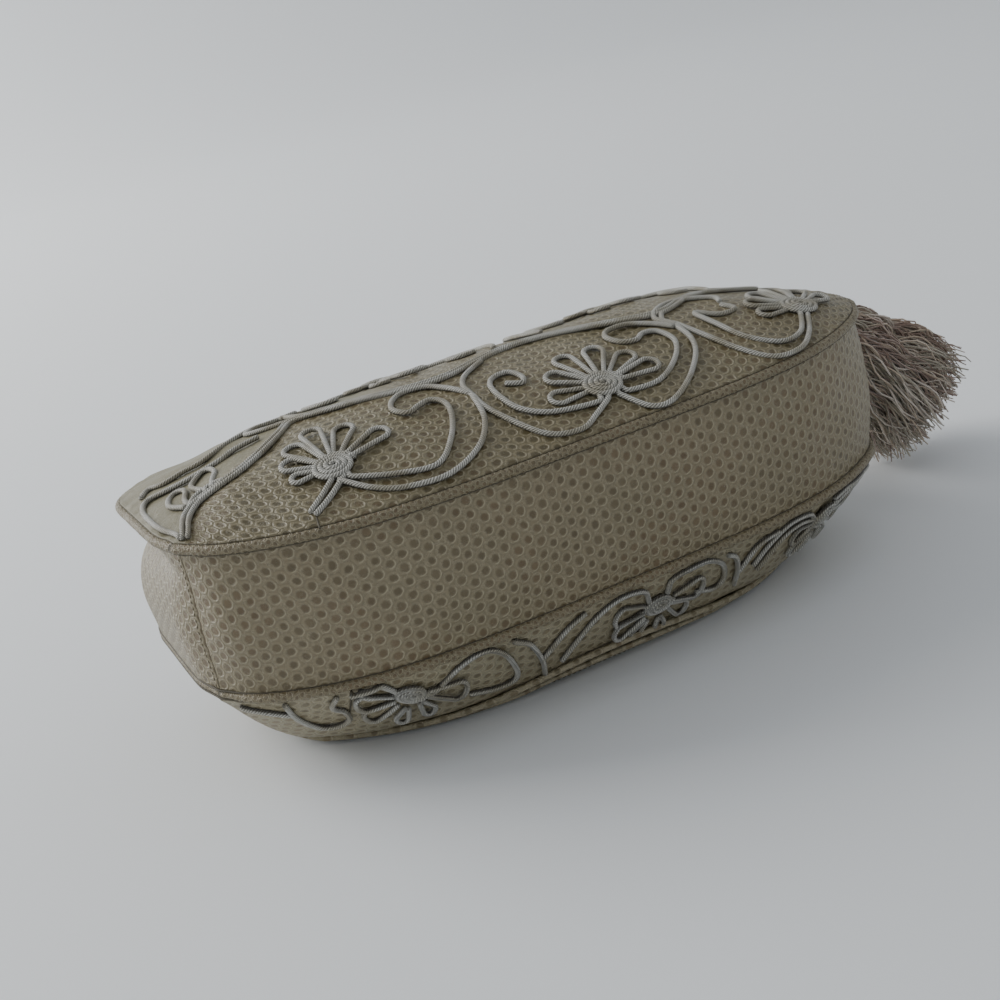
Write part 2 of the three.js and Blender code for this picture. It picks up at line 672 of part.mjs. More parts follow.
// The tassel hangs by its cord from the right end gusset, its skirt down towards the floor
function addTassel() {
  const headZ = BACK_SEAM_Z - TASSEL_HEAD_BELOW_SEAM;
  const head = new THREE.Vector3(HALF_WIDTH + TASSEL_HEAD_OUT, TASSEL_HEAD_Y, headZ);
  const lean = new THREE.Vector3(TASSEL_LEAN_OUT, -TASSEL_LEAN_TO_CORNER, TASSEL_LOW_Z - headZ);
  const turn = new THREE.Quaternion().setFromUnitVectors(new THREE.Vector3(0, 1, 0), lean.clone().normalize());
  const skirt = tasselSolid();
  skirt.applyQuaternion(turn);
  skirt.translate(head.x, head.y, head.z);
  const anchorX = endGussetX(head.y, headZ) + TASSEL_CORD_CLEAR;
  const anchor = new THREE.Vector3(anchorX, head.y, headZ);
  const bend = new THREE.Vector3((anchorX + head.x) / 2, head.y, headZ + TASSEL_CORD_RADIUS);
  const inside = head.clone().addScaledVector(lean.normalize(), TASSEL_HEAD_LENGTH / 3);
  const path = [anchor, bend, head, inside];
  const cord = cordSolid(path, TASSEL_CORD_RADIUS, PIPING_SIDES, path.length);
  addPiece('tassel', joined([skirt, cord]), YARN);
}

// The wavy cord between the two rows of flowers
function waveSolid() {
  const start = FIRST_FLOWER_X - WAVE_BEFORE_FIRST;
  const end = LAST_FLOWER_X + WAVE_AFTER_LAST;
  const points = Array.from({ length: WAVE_POINTS + 1 }, (_, i) => {
    const x = start + (end - start) * i / WAVE_POINTS;
    const swing = Math.cos(2 * Math.PI * (x - FIRST_FLOWER_X) / FLOWER_PITCH);
    return overBack(x, WAVE_MIDDLE + WAVE_SWING * swing, CORD_RADIUS + CORD_CLEARANCE);
  });
  return cordSolid(points, CORD_RADIUS, CORD_SIDES, WAVE_STEPS);
}

// The rings of each panel, from its edge in: the front's run from the edge to where it lies flat
const BACK_RINGS = [1, 0.91, 0.77, 0.56, 0.32, 0.1];
const FRONT_FLAT_SHARE = (1 - (FRONT_DEPTH + REST_EDGE_ROUNDING) / FRONT_SWELL) ** (1 / FRONT_ROUNDNESS);
const FRONT_RINGS = [1, 0.72, 0.46, 0.28, 0.13, 0]
  .map((step) => FRONT_FLAT_SHARE + step * (1 - FRONT_FLAT_SHARE));

addPiece('back_panel', panelSolid(backHeight, 1, BACK_RINGS), SKIN);
addPiece('front_panel', panelSolid(frontHeight, -1, FRONT_RINGS), SKIN);
addPiece('back_piping', pipingSolid(BACK_SEAM_Z), SKIN);
addPiece('front_piping', pipingSolid(FRONT_SEAM_Z), SKIN);
addPiece('bottom_gusset', bottomGussetSolid(), SKIN);
addPiece('left_end_gusset', endGussetSolid(-1), SKIN);
addPiece('right_end_gusset', endGussetSolid(1), SKIN);
addPiece('flap', flapSolid(), SKIN);
addPiece('flap_piping', flapPipingSolid(), SKIN);

// The snap lies hidden between the flap and the front panel
const snap = new THREE.CylinderGeometry(SNAP_RADIUS, SNAP_RADIUS, FLAP_LIFT - 2 * CLEARANCE, SNAP_SIDES);
snap.rotateX(Math.PI / 2);
snap.translate(0, flapEdgeY(0) + SNAP_FROM_FREE_EDGE, FLAP_WALL + FLAP_LIFT / 2);
addPiece('snap', snap, METAL);

// Flowers along the bottom seam on both faces, and between them along the mouth on the back
for (let k = 0; k < SEAM_FLOWERS; k += 1) {
  const x = FIRST_FLOWER_X + k * FLOWER_PITCH;
  const leaves = k < SEAM_FLOWERS - 1 ? [OUTGOING_INNER, OUTGOING_OUTER] : [];
  const arrives = k > 0 ? [INCOMING_INNER, INCOMING_OUTER] : [TAIL];
  const scrolls = [...leaves, ...arrives];
  addPiece(`back_flower_${k + 1}`, flowerSolid({
    over: overBack, x, y: bottomY(x) + BACK_FLOWER_FROM_SEAM, away: 1, squeeze: 1, scrolls,
  }), CORD);
  addPiece(`front_flower_${k + 1}`, flowerSolid({
    over: overFront, x, y: bottomY(x) + FRONT_FLOWER_FROM_SEAM, away: 1, squeeze: FRONT_SQUEEZE, scrolls,
  }), CORD);
}
for (let k = 0; k < SEAM_FLOWERS - 1; k += 1) {
  const x = FIRST_FLOWER_X + (k + 0.5) * FLOWER_PITCH;
  const scrolls = k < 1 ? [OUTGOING_INNER, OUTGOING_OUTER] : [INCOMING_INNER, INCOMING_OUTER];
  addPiece(`back_mouth_flower_${k + 1}`, flowerSolid({
    over: overBack, x, y: mouthY(x) - MOUTH_FLOWER_FROM_SEAM, away: -1, squeeze: 1, scrolls,
  }), CORD);
}
addPiece('back_wave_cord', waveSolid(), CORD);
addTassel();

export default bag;
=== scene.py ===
"""Clutch bag of spotted skin with cord ornament, lying on its flap on a pale floor.

Metres. +X runs along the bag to the tassel end, +Y to the mouth, +Z up, and the origin is the middle
of the patch that the bag rests on. Each sub-assembly is a class that builds its meshes from numpy
grids and dresses them; each finish is a frozen dataclass that builds one material.
"""
import logging
import math
from dataclasses import dataclass, field
from enum import Enum
from typing import Sequence

import bpy
import numpy as np
from mathutils import Matrix, Vector


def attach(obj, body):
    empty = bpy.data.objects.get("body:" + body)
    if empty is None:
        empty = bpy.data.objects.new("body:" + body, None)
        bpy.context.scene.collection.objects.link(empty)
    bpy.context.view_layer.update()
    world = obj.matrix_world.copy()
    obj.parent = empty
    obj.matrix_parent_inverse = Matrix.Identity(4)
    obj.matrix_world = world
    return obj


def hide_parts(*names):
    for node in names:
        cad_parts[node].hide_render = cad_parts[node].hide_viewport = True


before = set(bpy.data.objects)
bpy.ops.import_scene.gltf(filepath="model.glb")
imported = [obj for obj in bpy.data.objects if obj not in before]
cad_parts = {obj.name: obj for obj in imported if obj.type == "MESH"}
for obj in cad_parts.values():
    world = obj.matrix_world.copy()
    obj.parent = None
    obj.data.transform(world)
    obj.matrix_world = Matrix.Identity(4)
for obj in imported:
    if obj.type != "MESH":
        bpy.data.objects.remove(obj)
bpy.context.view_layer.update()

log = logging.getLogger("clutch_bag")
MM = 0.001
TINY = 1e-12
HALVINGS = 26
Grid = np.ndarray


def smooth(share: Grid) -> Grid:
    """A smooth step of values from 0 to 1: three times the square less twice the cube."""
    return share * share * (3 - 2 * share)


def walked(path: Grid) -> Grid:
    """The distance walked along a path up to each of its points."""
    return np.concatenate([[0], np.linalg.norm(np.diff(path, axis=0), axis=1).cumsum()])


def resampled(path: Grid, wanted: Grid) -> Grid:
    """A path's points at the wanted distances along it."""
    along = walked(path)
    return np.stack([np.interp(wanted, along, path[:, k]) for k in range(path.shape[1])], -1)


class Face(Enum):
    """The two domed faces of the bag."""

    BACK = 1
    FRONT = -1


@dataclass(frozen=True)
class BagForm:
    """Sizes of the bag's form, in metres, and the surfaces that follow from them."""

    width: float = 280 * MM
    bottom_bulge: float = 39 * MM
    bottom_squareness: float = 4.2
    side_length: float = 72 * MM
    corner_radius: float = 26 * MM
    mouth_arch: float = 7 * MM
    front_depth: float = 33 * MM
    gusset_width: float = 54 * MM
    back_swell: float = 17 * MM
    back_roundness: float = 1.9
    front_swell: float = 60 * MM
    rest_rounding: float = 8 * MM
    spine_share: float = 0.3
    wall: float = 2 * MM
    piping_radius: float = 1.8 * MM
    piping_out: float = 0.6 * MM
    clearance: float = 0.3 * MM
    flap_wall: float = 1.6 * MM
    flap_lift: float = 1.6 * MM
    flap_half: float = 116 * MM
    flap_bulge: float = 5 * MM
    flap_free_edge: float = 20 * MM
    flap_side_rise: float = 44 * MM
    flap_edge_power: float = 2.4
    end_fold: float = 12 * MM
    end_crease: float = 0.8
    end_lobe_power: float = 5
    end_lobe_bulge: float = 0.15
    end_turn: float = 22 * MM
    mouth_sink: float = 0.06
    mouth_taper: float = 0.02
    corner_in: float = 2.7 * MM
    corner_up: float = 1.35 * MM
    corner_reach: float = 11 * MM
    slope_step: float = 0.4 * MM

    @property
    def half(self) -> float:
        """Half the width."""
        return self.width / 2

    @property
    def shoulder(self) -> float:
        """Where the mouth's round corners start."""
        return self.half - self.corner_radius

    @property
    def corner_y(self) -> float:
        """Height of the two bottom corners."""
        height = self.side_length + self.corner_radius + self.mouth_arch + self.bottom_bulge
        return self.bottom_bulge - height / 2

    @property
    def seam_gap(self) -> float:
        """From a seam's middle to the leather on either side."""
        return self.piping_radius + self.clearance

    @property
    def front_rim(self) -> float:
        """Height of the front panel's rim."""
        return self.flap_wall + self.flap_lift + self.front_depth

    @property
    def front_seam(self) -> float:
        """Height of the front seam."""
        return self.front_rim + self.seam_gap

    @property
    def back_seam(self) -> float:
        """Height of the back seam."""
        return self.front_seam + self.gusset_width

    @property
    def back_rim(self) -> float:
        """Height of the back panel's rim."""
        return self.back_seam + self.seam_gap

    def bottom_y(self, x: Grid) -> Grid:
        """The bottom seam: a flat curve whose drop falls off as a power of the way out.

        Args:
            x: place across the bag.

        Returns:
            The seam's y.
        """
        reach = np.clip(np.abs(x) / self.half, 0, 1) ** self.bottom_squareness
        return self.corner_y - self.bottom_bulge * (1 - reach)

    def mouth_y(self, x: Grid) -> Grid:
        """The mouth edge: a low parabola between two quarter circles.

        Args:
            x: place across the bag.

        Returns:
            The edge's y.
        """
        side_top = self.corner_y + self.side_length
        past = np.clip(np.abs(x), 0, self.half) - self.shoulder
        turn = side_top + np.sqrt(np.maximum(self.corner_radius**2 - np.maximum(past, 0) ** 2, 0))
        arch = side_top + self.corner_radius + self.mouth_arch * (1 - (x / self.shoulder) ** 2)
        return np.where(past > 0, turn, arch)

    def side_x(self, y: Grid) -> Grid:
        """Half width at a height: straight, then round the mouth corner.

        Args:
            y: height along the side.

        Returns:
            The side's x.
        """
        past = np.clip(y - self.corner_y - self.side_length, 0, self.corner_radius)
        return self.shoulder + np.sqrt(self.corner_radius**2 - past**2)

    def share(self, x: Grid, y: Grid) -> Grid:
        """How far out a panel point lies: 0 on the spine, 1 on the edge.

        The spine is the middle stretch of the x axis. The share is the smallest for which the point
        lies inside the panel's edge shrunk towards the spine, found by halving.

        Args:
            x: place across the bag.
            y: place up the bag.

        Returns:
            The share of each point.
        """
        x, y = np.broadcast_arrays(np.asarray(x, float), np.asarray(y, float))

        def within(share: Grid) -> Grid:
            """Whether each point lies inside the edge shrunk to the share."""
            spread = self.spine_share + share * (1 - self.spine_share)
            edge_x = x / np.maximum(spread, TINY)
            edge = np.where(y > 0, self.mouth_y(edge_x), -self.bottom_y(edge_x))
            return np.abs(y) <= share * edge

        from_side = (np.abs(x) / self.half - self.spine_share) / (1 - self.spine_share)
        low = np.maximum(from_side, 0)
        at_side = (low > 0) & within(low)
        high = np.ones_like(low)
        floor = low.copy()
        for _ in range(HALVINGS):
            middle = (low + high) / 2
            inside = within(middle)
            high = np.where(inside, middle, high)
            low = np.where(inside, low, middle)
        return np.clip(np.where(at_side, floor, high), 0, 1)

    def height(self, face: Face, share: Grid) -> Grid:
        """Height of a face: a power curve at the back, at the front one pressed flat with a round turn.

        Args:
            face: which face.
            share: how far out each point lies.

        Returns:
            The z of the face's outer side.
        """
        if face is Face.BACK:
            return self.back_rim + self.back_swell * (1 - share**self.back_roundness)
        swell = self.front_swell * (1 - share**2)
        short = self.front_depth + self.rest_rounding - swell
        turned = self.front_rim - self.front_depth + short**2 / (4 * self.rest_rounding)
        steep = self.front_rim - swell
        flat = self.front_rim - self.front_depth
        return np.where(short <= 0, flat, np.where(short >= 2 * self.rest_rounding, steep, turned))

    def over(self, face: Face, x: Grid, y: Grid, lift: Grid | float) -> Grid:
        """Points over a face, lifted along its own normal, which comes from the slopes in x and y.

        Args:
            face: which face.
            x: place across the bag.
            y: place up the bag.
            lift: how far off the face.

        Returns:
            Points, one row each.
        """
        step = self.slope_step
        slope_x = (self.height(face, self.share(x + step, y)) - self.height(face, self.share(x - step, y)))
        slope_y = (self.height(face, self.share(x, y + step)) - self.height(face, self.share(x, y - step)))
        up = float(face.value)
        normal = np.stack([-slope_x / (2 * step) * up, -slope_y / (2 * step) * up,
                           np.full(np.shape(slope_x), up)], -1)
        normal /= np.linalg.norm(normal, axis=-1, keepdims=True)
        base = np.stack([x, y, self.height(face, self.share(x, y))], -1)
        return base + normal * np.asarray(lift)[..., None]

    def flap_edge_y(self, x: Grid) -> Grid:
        """The flap's free edge: a bow that rises towards the flap's sides as a power of the way out.

        Args:
            x: place across the bag.

        Returns:
            The edge's y.
        """
        rise = self.flap_side_rise * np.abs(x / self.flap_half) ** self.flap_edge_power
        return self.bottom_y(np.zeros(1))[0] + self.flap_free_edge + rise

    def end_x(self, y: Grid, z: Grid) -> Grid:
        """Half width of an end gusset: the side less a fold that deepens towards the mouth.

        Args:
            y: height up the side.
            z: height over the floor.

        Returns:
            The gusset's x.
        """
        up = np.clip((z - self.front_seam - self.seam_gap) / (self.gusset_width - 2 * self.seam_gap), 0, 1)
        lobe = np.clip(up / self.end_crease, 0, 1)
        lower = lobe**self.end_lobe_power - self.end_lobe_bulge * np.sin(np.pi * lobe)
        crease = np.where(up < self.end_crease, lower, (1 - up) / (1 - self.end_crease))
        along = np.clip((y - self.corner_y) / (self.side_length + self.end_turn), 0, 1)
        return self.side_x(y) - self.end_fold * crease * np.sin(np.pi / 2 * along)

    def settled(self, points: Grid) -> Grid:
        """Points as the worn bag holds them: thinner and narrower at the mouth, with soft bottom corners.

        A share of z and x is lost as a smooth step of y, and near each bottom corner points are
        pulled inwards by an amount that falls off as a bell curve of the distance to the corner.

        Args:
            points: points of a piece.

        Returns:
            The points moved.
        """
        top = self.mouth_y(np.zeros(1))[0]
        far = smooth(np.clip((points[..., 1] - self.corner_y) / (top - self.corner_y), 0, 1))
        moved = points * (1 - far[..., None] * np.array([self.mouth_taper, 0, self.mouth_sink]))
        away = np.stack([np.abs(points[..., 0]) - self.half, points[..., 1] - self.corner_y], -1)
        pull = np.exp(-(away**2).sum(-1) / self.corner_reach**2)
        moved[..., 0] -= np.sign(points[..., 0]) * self.corner_in * pull
        moved[..., 1] += self.corner_up * pull
        return moved


FORM = BagForm()


def ripples(points: Grid, seed: int, size: float, waves: int = 14) -> Grid:
    """Soft uneven bumps: a sum of plane waves with random directions and lengths about one size.

    Args:
        points: points in space, last axis x, y, z.
        seed: seed of the random draws.
        size: mean wavelength in metres.
        waves: how many waves are added.

    Returns:
        A value about -1 to 1 for each point.
    """
    rng = np.random.default_rng(seed)
    directions = rng.normal(size=(waves, 3))
    directions /= np.linalg.norm(directions, axis=1, keepdims=True)
    lengths = size * rng.uniform(0.6, 1.6, waves)
    phases = rng.uniform(0, 2 * np.pi, waves)
    turns = points @ (directions / lengths[:, None]).T * 2 * np.pi + phases
    return np.sin(turns).sum(-1) / np.sqrt(waves)


def mesh_object(name: str, points: Grid, faces: Grid, uv: Grid | None = None,
                tone: Grid | None = None) -> bpy.types.Object:
    """A smooth-shaded mesh object at the origin.

    Args:
        name: the object's name.
        points: vertices, one row each.
        faces: vertex numbers, four a row; one that comes twice leaves a triangle.
        uv: place on the surface of each vertex, in metres.
        tone: a grey value of each vertex.

    Returns:
        The new object.
    """
    mesh = bpy.data.meshes.new(name)
    points = np.asarray(points, float).reshape(-1, 3)
    rows = [tuple(dict.fromkeys(row)) for row in np.asarray(faces).tolist()]
    mesh.from_pydata(points.tolist(), [], rows)
    mesh.polygons.foreach_set("use_smooth", np.ones(len(mesh.polygons), bool))
    corners = np.zeros(len(mesh.loops), np.int32)
    mesh.loops.foreach_get("vertex_index", corners)
    if uv is not None:
        layer = mesh.uv_layers.new(name="Surface")
        layer.uv.foreach_set("vector", np.asarray(uv, np.float32).reshape(-1, 2)[corners].ravel())
    if tone is not None:
        values = mesh.attributes.new("tone", "FLOAT", "POINT")
        values.data.foreach_set("value", np.asarray(tone, np.float32).ravel())
    mesh.update()
    piece = bpy.data.objects.new(name, mesh)
    bpy.context.scene.collection.objects.link(piece)
    return piece


def grid_faces(rows: int, columns: int, wrap: bool = False, start: int = 0) -> Grid:
    """Four-sided faces of a grid of points.

    Args:
        rows: points up the grid.
        columns: points across the grid.
        wrap: whether the last column joins the first.
        start: number of the first point.

    Returns:
        Vertex numbers, one face a row.
    """
    across = columns if wrap else columns - 1
    j, i = np.meshgrid(np.arange(rows - 1), np.arange(across), indexing="ij")
    right = (i + 1) % columns
    low, high = j * columns, (j + 1) * columns
    faces = np.stack([low + i, low + right, high + right, high + i], -1)
    return faces.reshape(-1, 4) + start


def surface_uv(grid: Grid) -> Grid:
    """Place on a grid's surface: distance walked along the rows and up the columns from its middle.

    Args:
        grid: points, rows by columns by 3.

    Returns:
        u and v in metres for each point.
    """
    along = np.linalg.norm(np.diff(grid, axis=1), axis=2)
    up = np.linalg.norm(np.diff(grid, axis=0), axis=2)
    u = np.concatenate([np.zeros((len(grid), 1)), along.cumsum(1)], 1)
    u = u - u[:, [grid.shape[1] // 2]]
    v = np.concatenate([np.zeros((1, grid.shape[1])), up.cumsum(0)], 0)
    return np.stack([u, v], -1)


def crowded(count: int, pull: float = 0.9) -> Grid:
    """Values from -1 to 1 that crowd towards the ends, as a sine does.

    Args:
        count: how many values.
        pull: 0 for even steps, 1 for the full sine.

    Returns:
        The values in order.
    """
    even = np.linspace(-1, 1, count)
    return np.sin(even * np.pi / 2 * pull) / np.sin(np.pi / 2 * pull)


def tube(path: Grid, radius: Grid | float, sides: int, closed: bool = False) -> tuple[Grid, Grid, Grid]:
    """A round profile carried along a path, its frame turned as little as possible from step to step.

    The way round starts underneath, so that the pattern's join is out of sight.

    Args:
        path: points of the middle line.
        radius: radius, one value or one for each point.
        sides: points round the profile.
        closed: whether the path joins itself; the ends of an open one close in a point.

    Returns:
        Points, faces, and u along and v round in metres.
    """
    path = np.asarray(path, float)
    count = len(path)
    radii = np.broadcast_to(np.asarray(radius, float), (count,))
    if closed:
        along = np.roll(path, -1, 0) - np.roll(path, 1, 0)
    else:
        along = np.gradient(path, axis=0)
    along /= np.maximum(np.linalg.norm(along, axis=1, keepdims=True), TINY)
    side = np.zeros_like(path)
    start = np.array([0.0, 0.0, 1.0]) if abs(along[0, 2]) < 0.9 else np.array([1.0, 0.0, 0.0])
    carried = start - along[0] * (start @ along[0])
    side[0] = carried / np.linalg.norm(carried)
    for k in range(1, count):
        carried = side[k - 1] - along[k] * (side[k - 1] @ along[k])
        side[k] = carried / max(np.linalg.norm(carried), TINY)
    other = np.cross(along, side)
    turn = np.linspace(0, 2 * np.pi, sides, endpoint=False)
    around = turn[None, :, None] + np.pi
    outward = np.cos(around) * side[:, None] + np.sin(around) * other[:, None]
    rings = path[:, None] + radii[:, None, None] * outward
    distance = walked(path)
    uv = np.stack(np.broadcast_arrays(distance[:, None], turn[None] * radii[:, None]), -1)
    points = rings.reshape(-1, 3)
    faces = grid_faces(count, sides, wrap=True)
    flat_uv = uv.reshape(-1, 2)
    ring = np.arange(sides)
    following = (ring + 1) % sides
    last = (count - 1) * sides
    if closed:
        seam = np.stack([last + ring, last + following, following, ring], -1)
        faces = np.concatenate([faces, seam])
    else:
        tips = [path[:1] - along[:1] * radii[0] / 2, path[-1:] + along[-1:] * radii[-1] / 2]
        points = np.concatenate([points, *tips])
        flat_uv = np.concatenate([flat_uv, [[0, 0]], [[distance[-1], 0]]])
        tip = np.full(sides, count * sides)
        head = np.stack([following, ring, tip, tip], -1)
        tail = np.stack([last + ring, last + following, tip + 1, tip + 1], -1)
        faces = np.concatenate([faces, head, tail])
    return points, faces, flat_uv


@dataclass
class MeshHeap:
    """Many small closed shapes gathered into one mesh."""

    points: list[Grid] = field(default_factory=list)
    faces: list[Grid] = field(default_factory=list)
    uvs: list[Grid] = field(default_factory=list)
    tones: list[Grid] = field(default_factory=list)
    count: int = 0

    def add(self, shape: tuple[Grid, Grid, Grid], tone: Grid | float = 0.0) -> None:
        """Add a shape.

        Args:
            shape: points, faces and uv.
            tone: grey value of the whole shape or of each point.
        """
        points, faces, uv = shape
        self.points.append(points)
        self.faces.append(np.asarray(faces) + self.count)
        self.uvs.append(uv)
        self.tones.append(np.broadcast_to(np.asarray(tone, float), (len(points),)))
        self.count += len(points)

    def build(self, name: str) -> bpy.types.Object:
        """Make the object.

        Args:
            name: the object's name.

        Returns:
            The new object.
        """
        gathered = (self.points, self.faces, self.uvs, self.tones)
        return mesh_object(name, *(np.concatenate(part) for part in gathered))


def smooth_path(knots: Sequence[Sequence[float]] | Grid, step: float) -> Grid:
    """A Catmull-Rom curve through knots, walked in even steps.

    Args:
        knots: points that the curve passes through.
        step: distance between the points returned.

    Returns:
        Points of the curve.
    """
    knots = np.asarray(knots, float)
    line = np.concatenate([2 * knots[:1] - knots[1:2], knots, 2 * knots[-1:] - knots[-2:-1]])
    t = np.linspace(0, 1, 16, endpoint=False)[None, :, None]
    a, b, c, d = (line[k:len(line) - 3 + k, None] for k in range(4))
    dense = 0.5 * (2 * b + (c - a) * t + (2 * a - 5 * b + 4 * c - d) * t**2 + (3 * b - a - 3 * c + d) * t**3)
    dense = np.concatenate([dense.reshape(-1, knots.shape[1]), line[-2:-1]])
    length = walked(dense)[-1]
    count = max(int(round(length / step)), 3)
    return resampled(dense, np.linspace(0, length, count + 1))


def border(rows: int, columns: int) -> Grid:
    """Numbers of a grid's border points, once round against the clock.

    Args:
        rows: points up the grid.
        columns: points across the grid.

    Returns:
        Vertex numbers in order.
    """
    low = np.arange(columns)
    right = np.arange(1, rows) * columns + columns - 1
    high = (rows - 1) * columns + np.arange(columns - 2, -1, -1)
    left = np.arange(rows - 2, 0, -1) * columns
    return np.concatenate([low, right, high, left])


def shell(outer: Grid, inner: Grid) -> tuple[Grid, Grid, Grid]:
    """A closed wall between two grids, turned so that its faces point out.

    Args:
        outer: points of one side, rows by columns by 3.
        inner: points of the other side.

    Returns:
        Points, faces and uv.
    """
    rows, columns = outer.shape[:2]
    count = rows * columns
    front = grid_faces(rows, columns)
    back = grid_faces(rows, columns, start=count)[:, ::-1]
    ring = border(rows, columns)
    following = np.roll(ring, -1)
    rim = np.stack([following, ring, ring + count, following + count], -1)
    faces = np.concatenate([front, back, rim])
    points = np.concatenate([outer.reshape(-1, 3), inner.reshape(-1, 3)])
    a, b, c, d = (points[faces[:, k]] for k in range(4))
    volume = (np.einsum("ij,ij->i", a, np.cross(b, c)) + np.einsum("ij,ij->i", a, np.cross(c, d))).sum()
    if volume < 0:
        faces = faces[:, ::-1]
    uv = surface_uv(outer).reshape(-1, 2)
    return points, faces, np.concatenate([uv, uv])


def grid_normals(grid: Grid) -> Grid:
    """Unit normals of a grid: its two slopes crossed.

    Args:
        grid: points, rows by columns by 3.

    Returns:
        A normal for each point.
    """
    normal = np.cross(np.gradient(grid, axis=1), np.gradient(grid, axis=0))
    return normal / np.maximum(np.linalg.norm(normal, axis=2, keepdims=True), TINY)


Socket = bpy.types.NodeSocket
Value = Socket | float | Sequence[float]


class Shader:
    """A node material on the principled surface, built by short calls."""

    def __init__(self, name: str) -> None:
        """Start the material.

        Args:
            name: the material's name.
        """
        self.material = bpy.data.materials.new(name)
        self.material.use_nodes = True
        self.nodes = self.material.node_tree.nodes
        self.links = self.material.node_tree.links
        self.nodes.clear()
        self.surface = self.nodes.new("ShaderNodeBsdfPrincipled")
        output = self.nodes.new("ShaderNodeOutputMaterial")
        self.links.new(self.surface.outputs[0], output.inputs[0])

    def put(self, place: Socket, value: Value) -> None:
        """Link a socket, or set it, to a value."""
        if isinstance(value, bpy.types.NodeSocket):
            self.links.new(value, place)
        else:
            place.default_value = value

    def node(self, kind: str, inputs: dict[str | int, Value], **settings: str | bool) -> bpy.types.Node:
        """Add a node.

        Args:
            kind: the node's type.
            inputs: values by socket.
            settings: the node's own options.

        Returns:
            The node.
        """
        made = self.nodes.new(kind)
        for key, value in settings.items():
            setattr(made, key, value)
        for key, value in inputs.items():
            self.put(made.inputs[key], value)
        return made

    def math(self, operation: str, *values: Value, clamp: bool = False) -> Socket:
        """Add a Math node and give its result."""
        made = self.node("ShaderNodeMath", dict(enumerate(values)), operation=operation, use_clamp=clamp)
        return made.outputs[0]

    def vector(self, operation: str, *values: Value) -> Socket:
        """Add a Vector Math node and give its vector."""
        return self.node("ShaderNodeVectorMath", dict(enumerate(values)), operation=operation).outputs[0]

    def length(self, value: Value) -> Socket:
        """Length of a vector."""
        return self.node("ShaderNodeVectorMath", {0: value}, operation="LENGTH").outputs[1]

    def dot(self, value: Value, direction: Sequence[float]) -> Socket:
        """A vector's reach along a direction."""
        made = self.node("ShaderNodeVectorMath", {0: value, 1: direction}, operation="DOT_PRODUCT")
        return made.outputs[1]

    def step(self, value: Value, start: float, end: float) -> Socket:
        """A smooth step of a value from 0 at start to 1 at end."""
        low, high = min(start, end), max(start, end)
        results = (0.0, 1.0) if end > start else (1.0, 0.0)
        made = self.node("ShaderNodeMapRange", {0: value, 1: low, 2: high, 3: results[0], 4: results[1]},
                         interpolation_type="SMOOTHSTEP")
        return made.outputs[0]

    def noise(self, place: Socket, size: float, detail: float = 2.0) -> Socket:
        """Grey noise, 0 to 1, whose grains have a size in metres."""
        made = self.node("ShaderNodeTexNoise", {"Vector": place, "Scale": 1 / size, "Detail": detail})
        return made.outputs[0]

    def colour(self, share: Value, first: Value, second: Value) -> Socket:
        """Mix of two colours."""
        made = self.nodes.new("ShaderNodeMix")
        made.data_type = "RGBA"
        self.put(made.inputs[0], share)
        self.put(made.inputs[6], first)
        self.put(made.inputs[7], second)
        return made.outputs[2]

    def attribute(self, name: str) -> Socket:
        """A grey value stored on the mesh."""
        return self.node("ShaderNodeAttribute", {}, attribute_name=name).outputs["Fac"]

    def bump(self, height: Socket, depth: float, strength: float) -> None:
        """Bump the surface by a height of 0 to 1 that is worth a depth in metres."""
        made = self.node("ShaderNodeBump", {"Height": height, "Distance": depth, "Strength": strength})
        self.links.new(made.outputs[0], self.surface.inputs["Normal"])


def rgb(red: float, green: float, blue: float) -> tuple[float, float, float, float]:
    """A linear colour from the eye's 0 to 255 scale."""
    return tuple((value / 255) ** 2.2 for value in (red, green, blue)) + (1.0,)


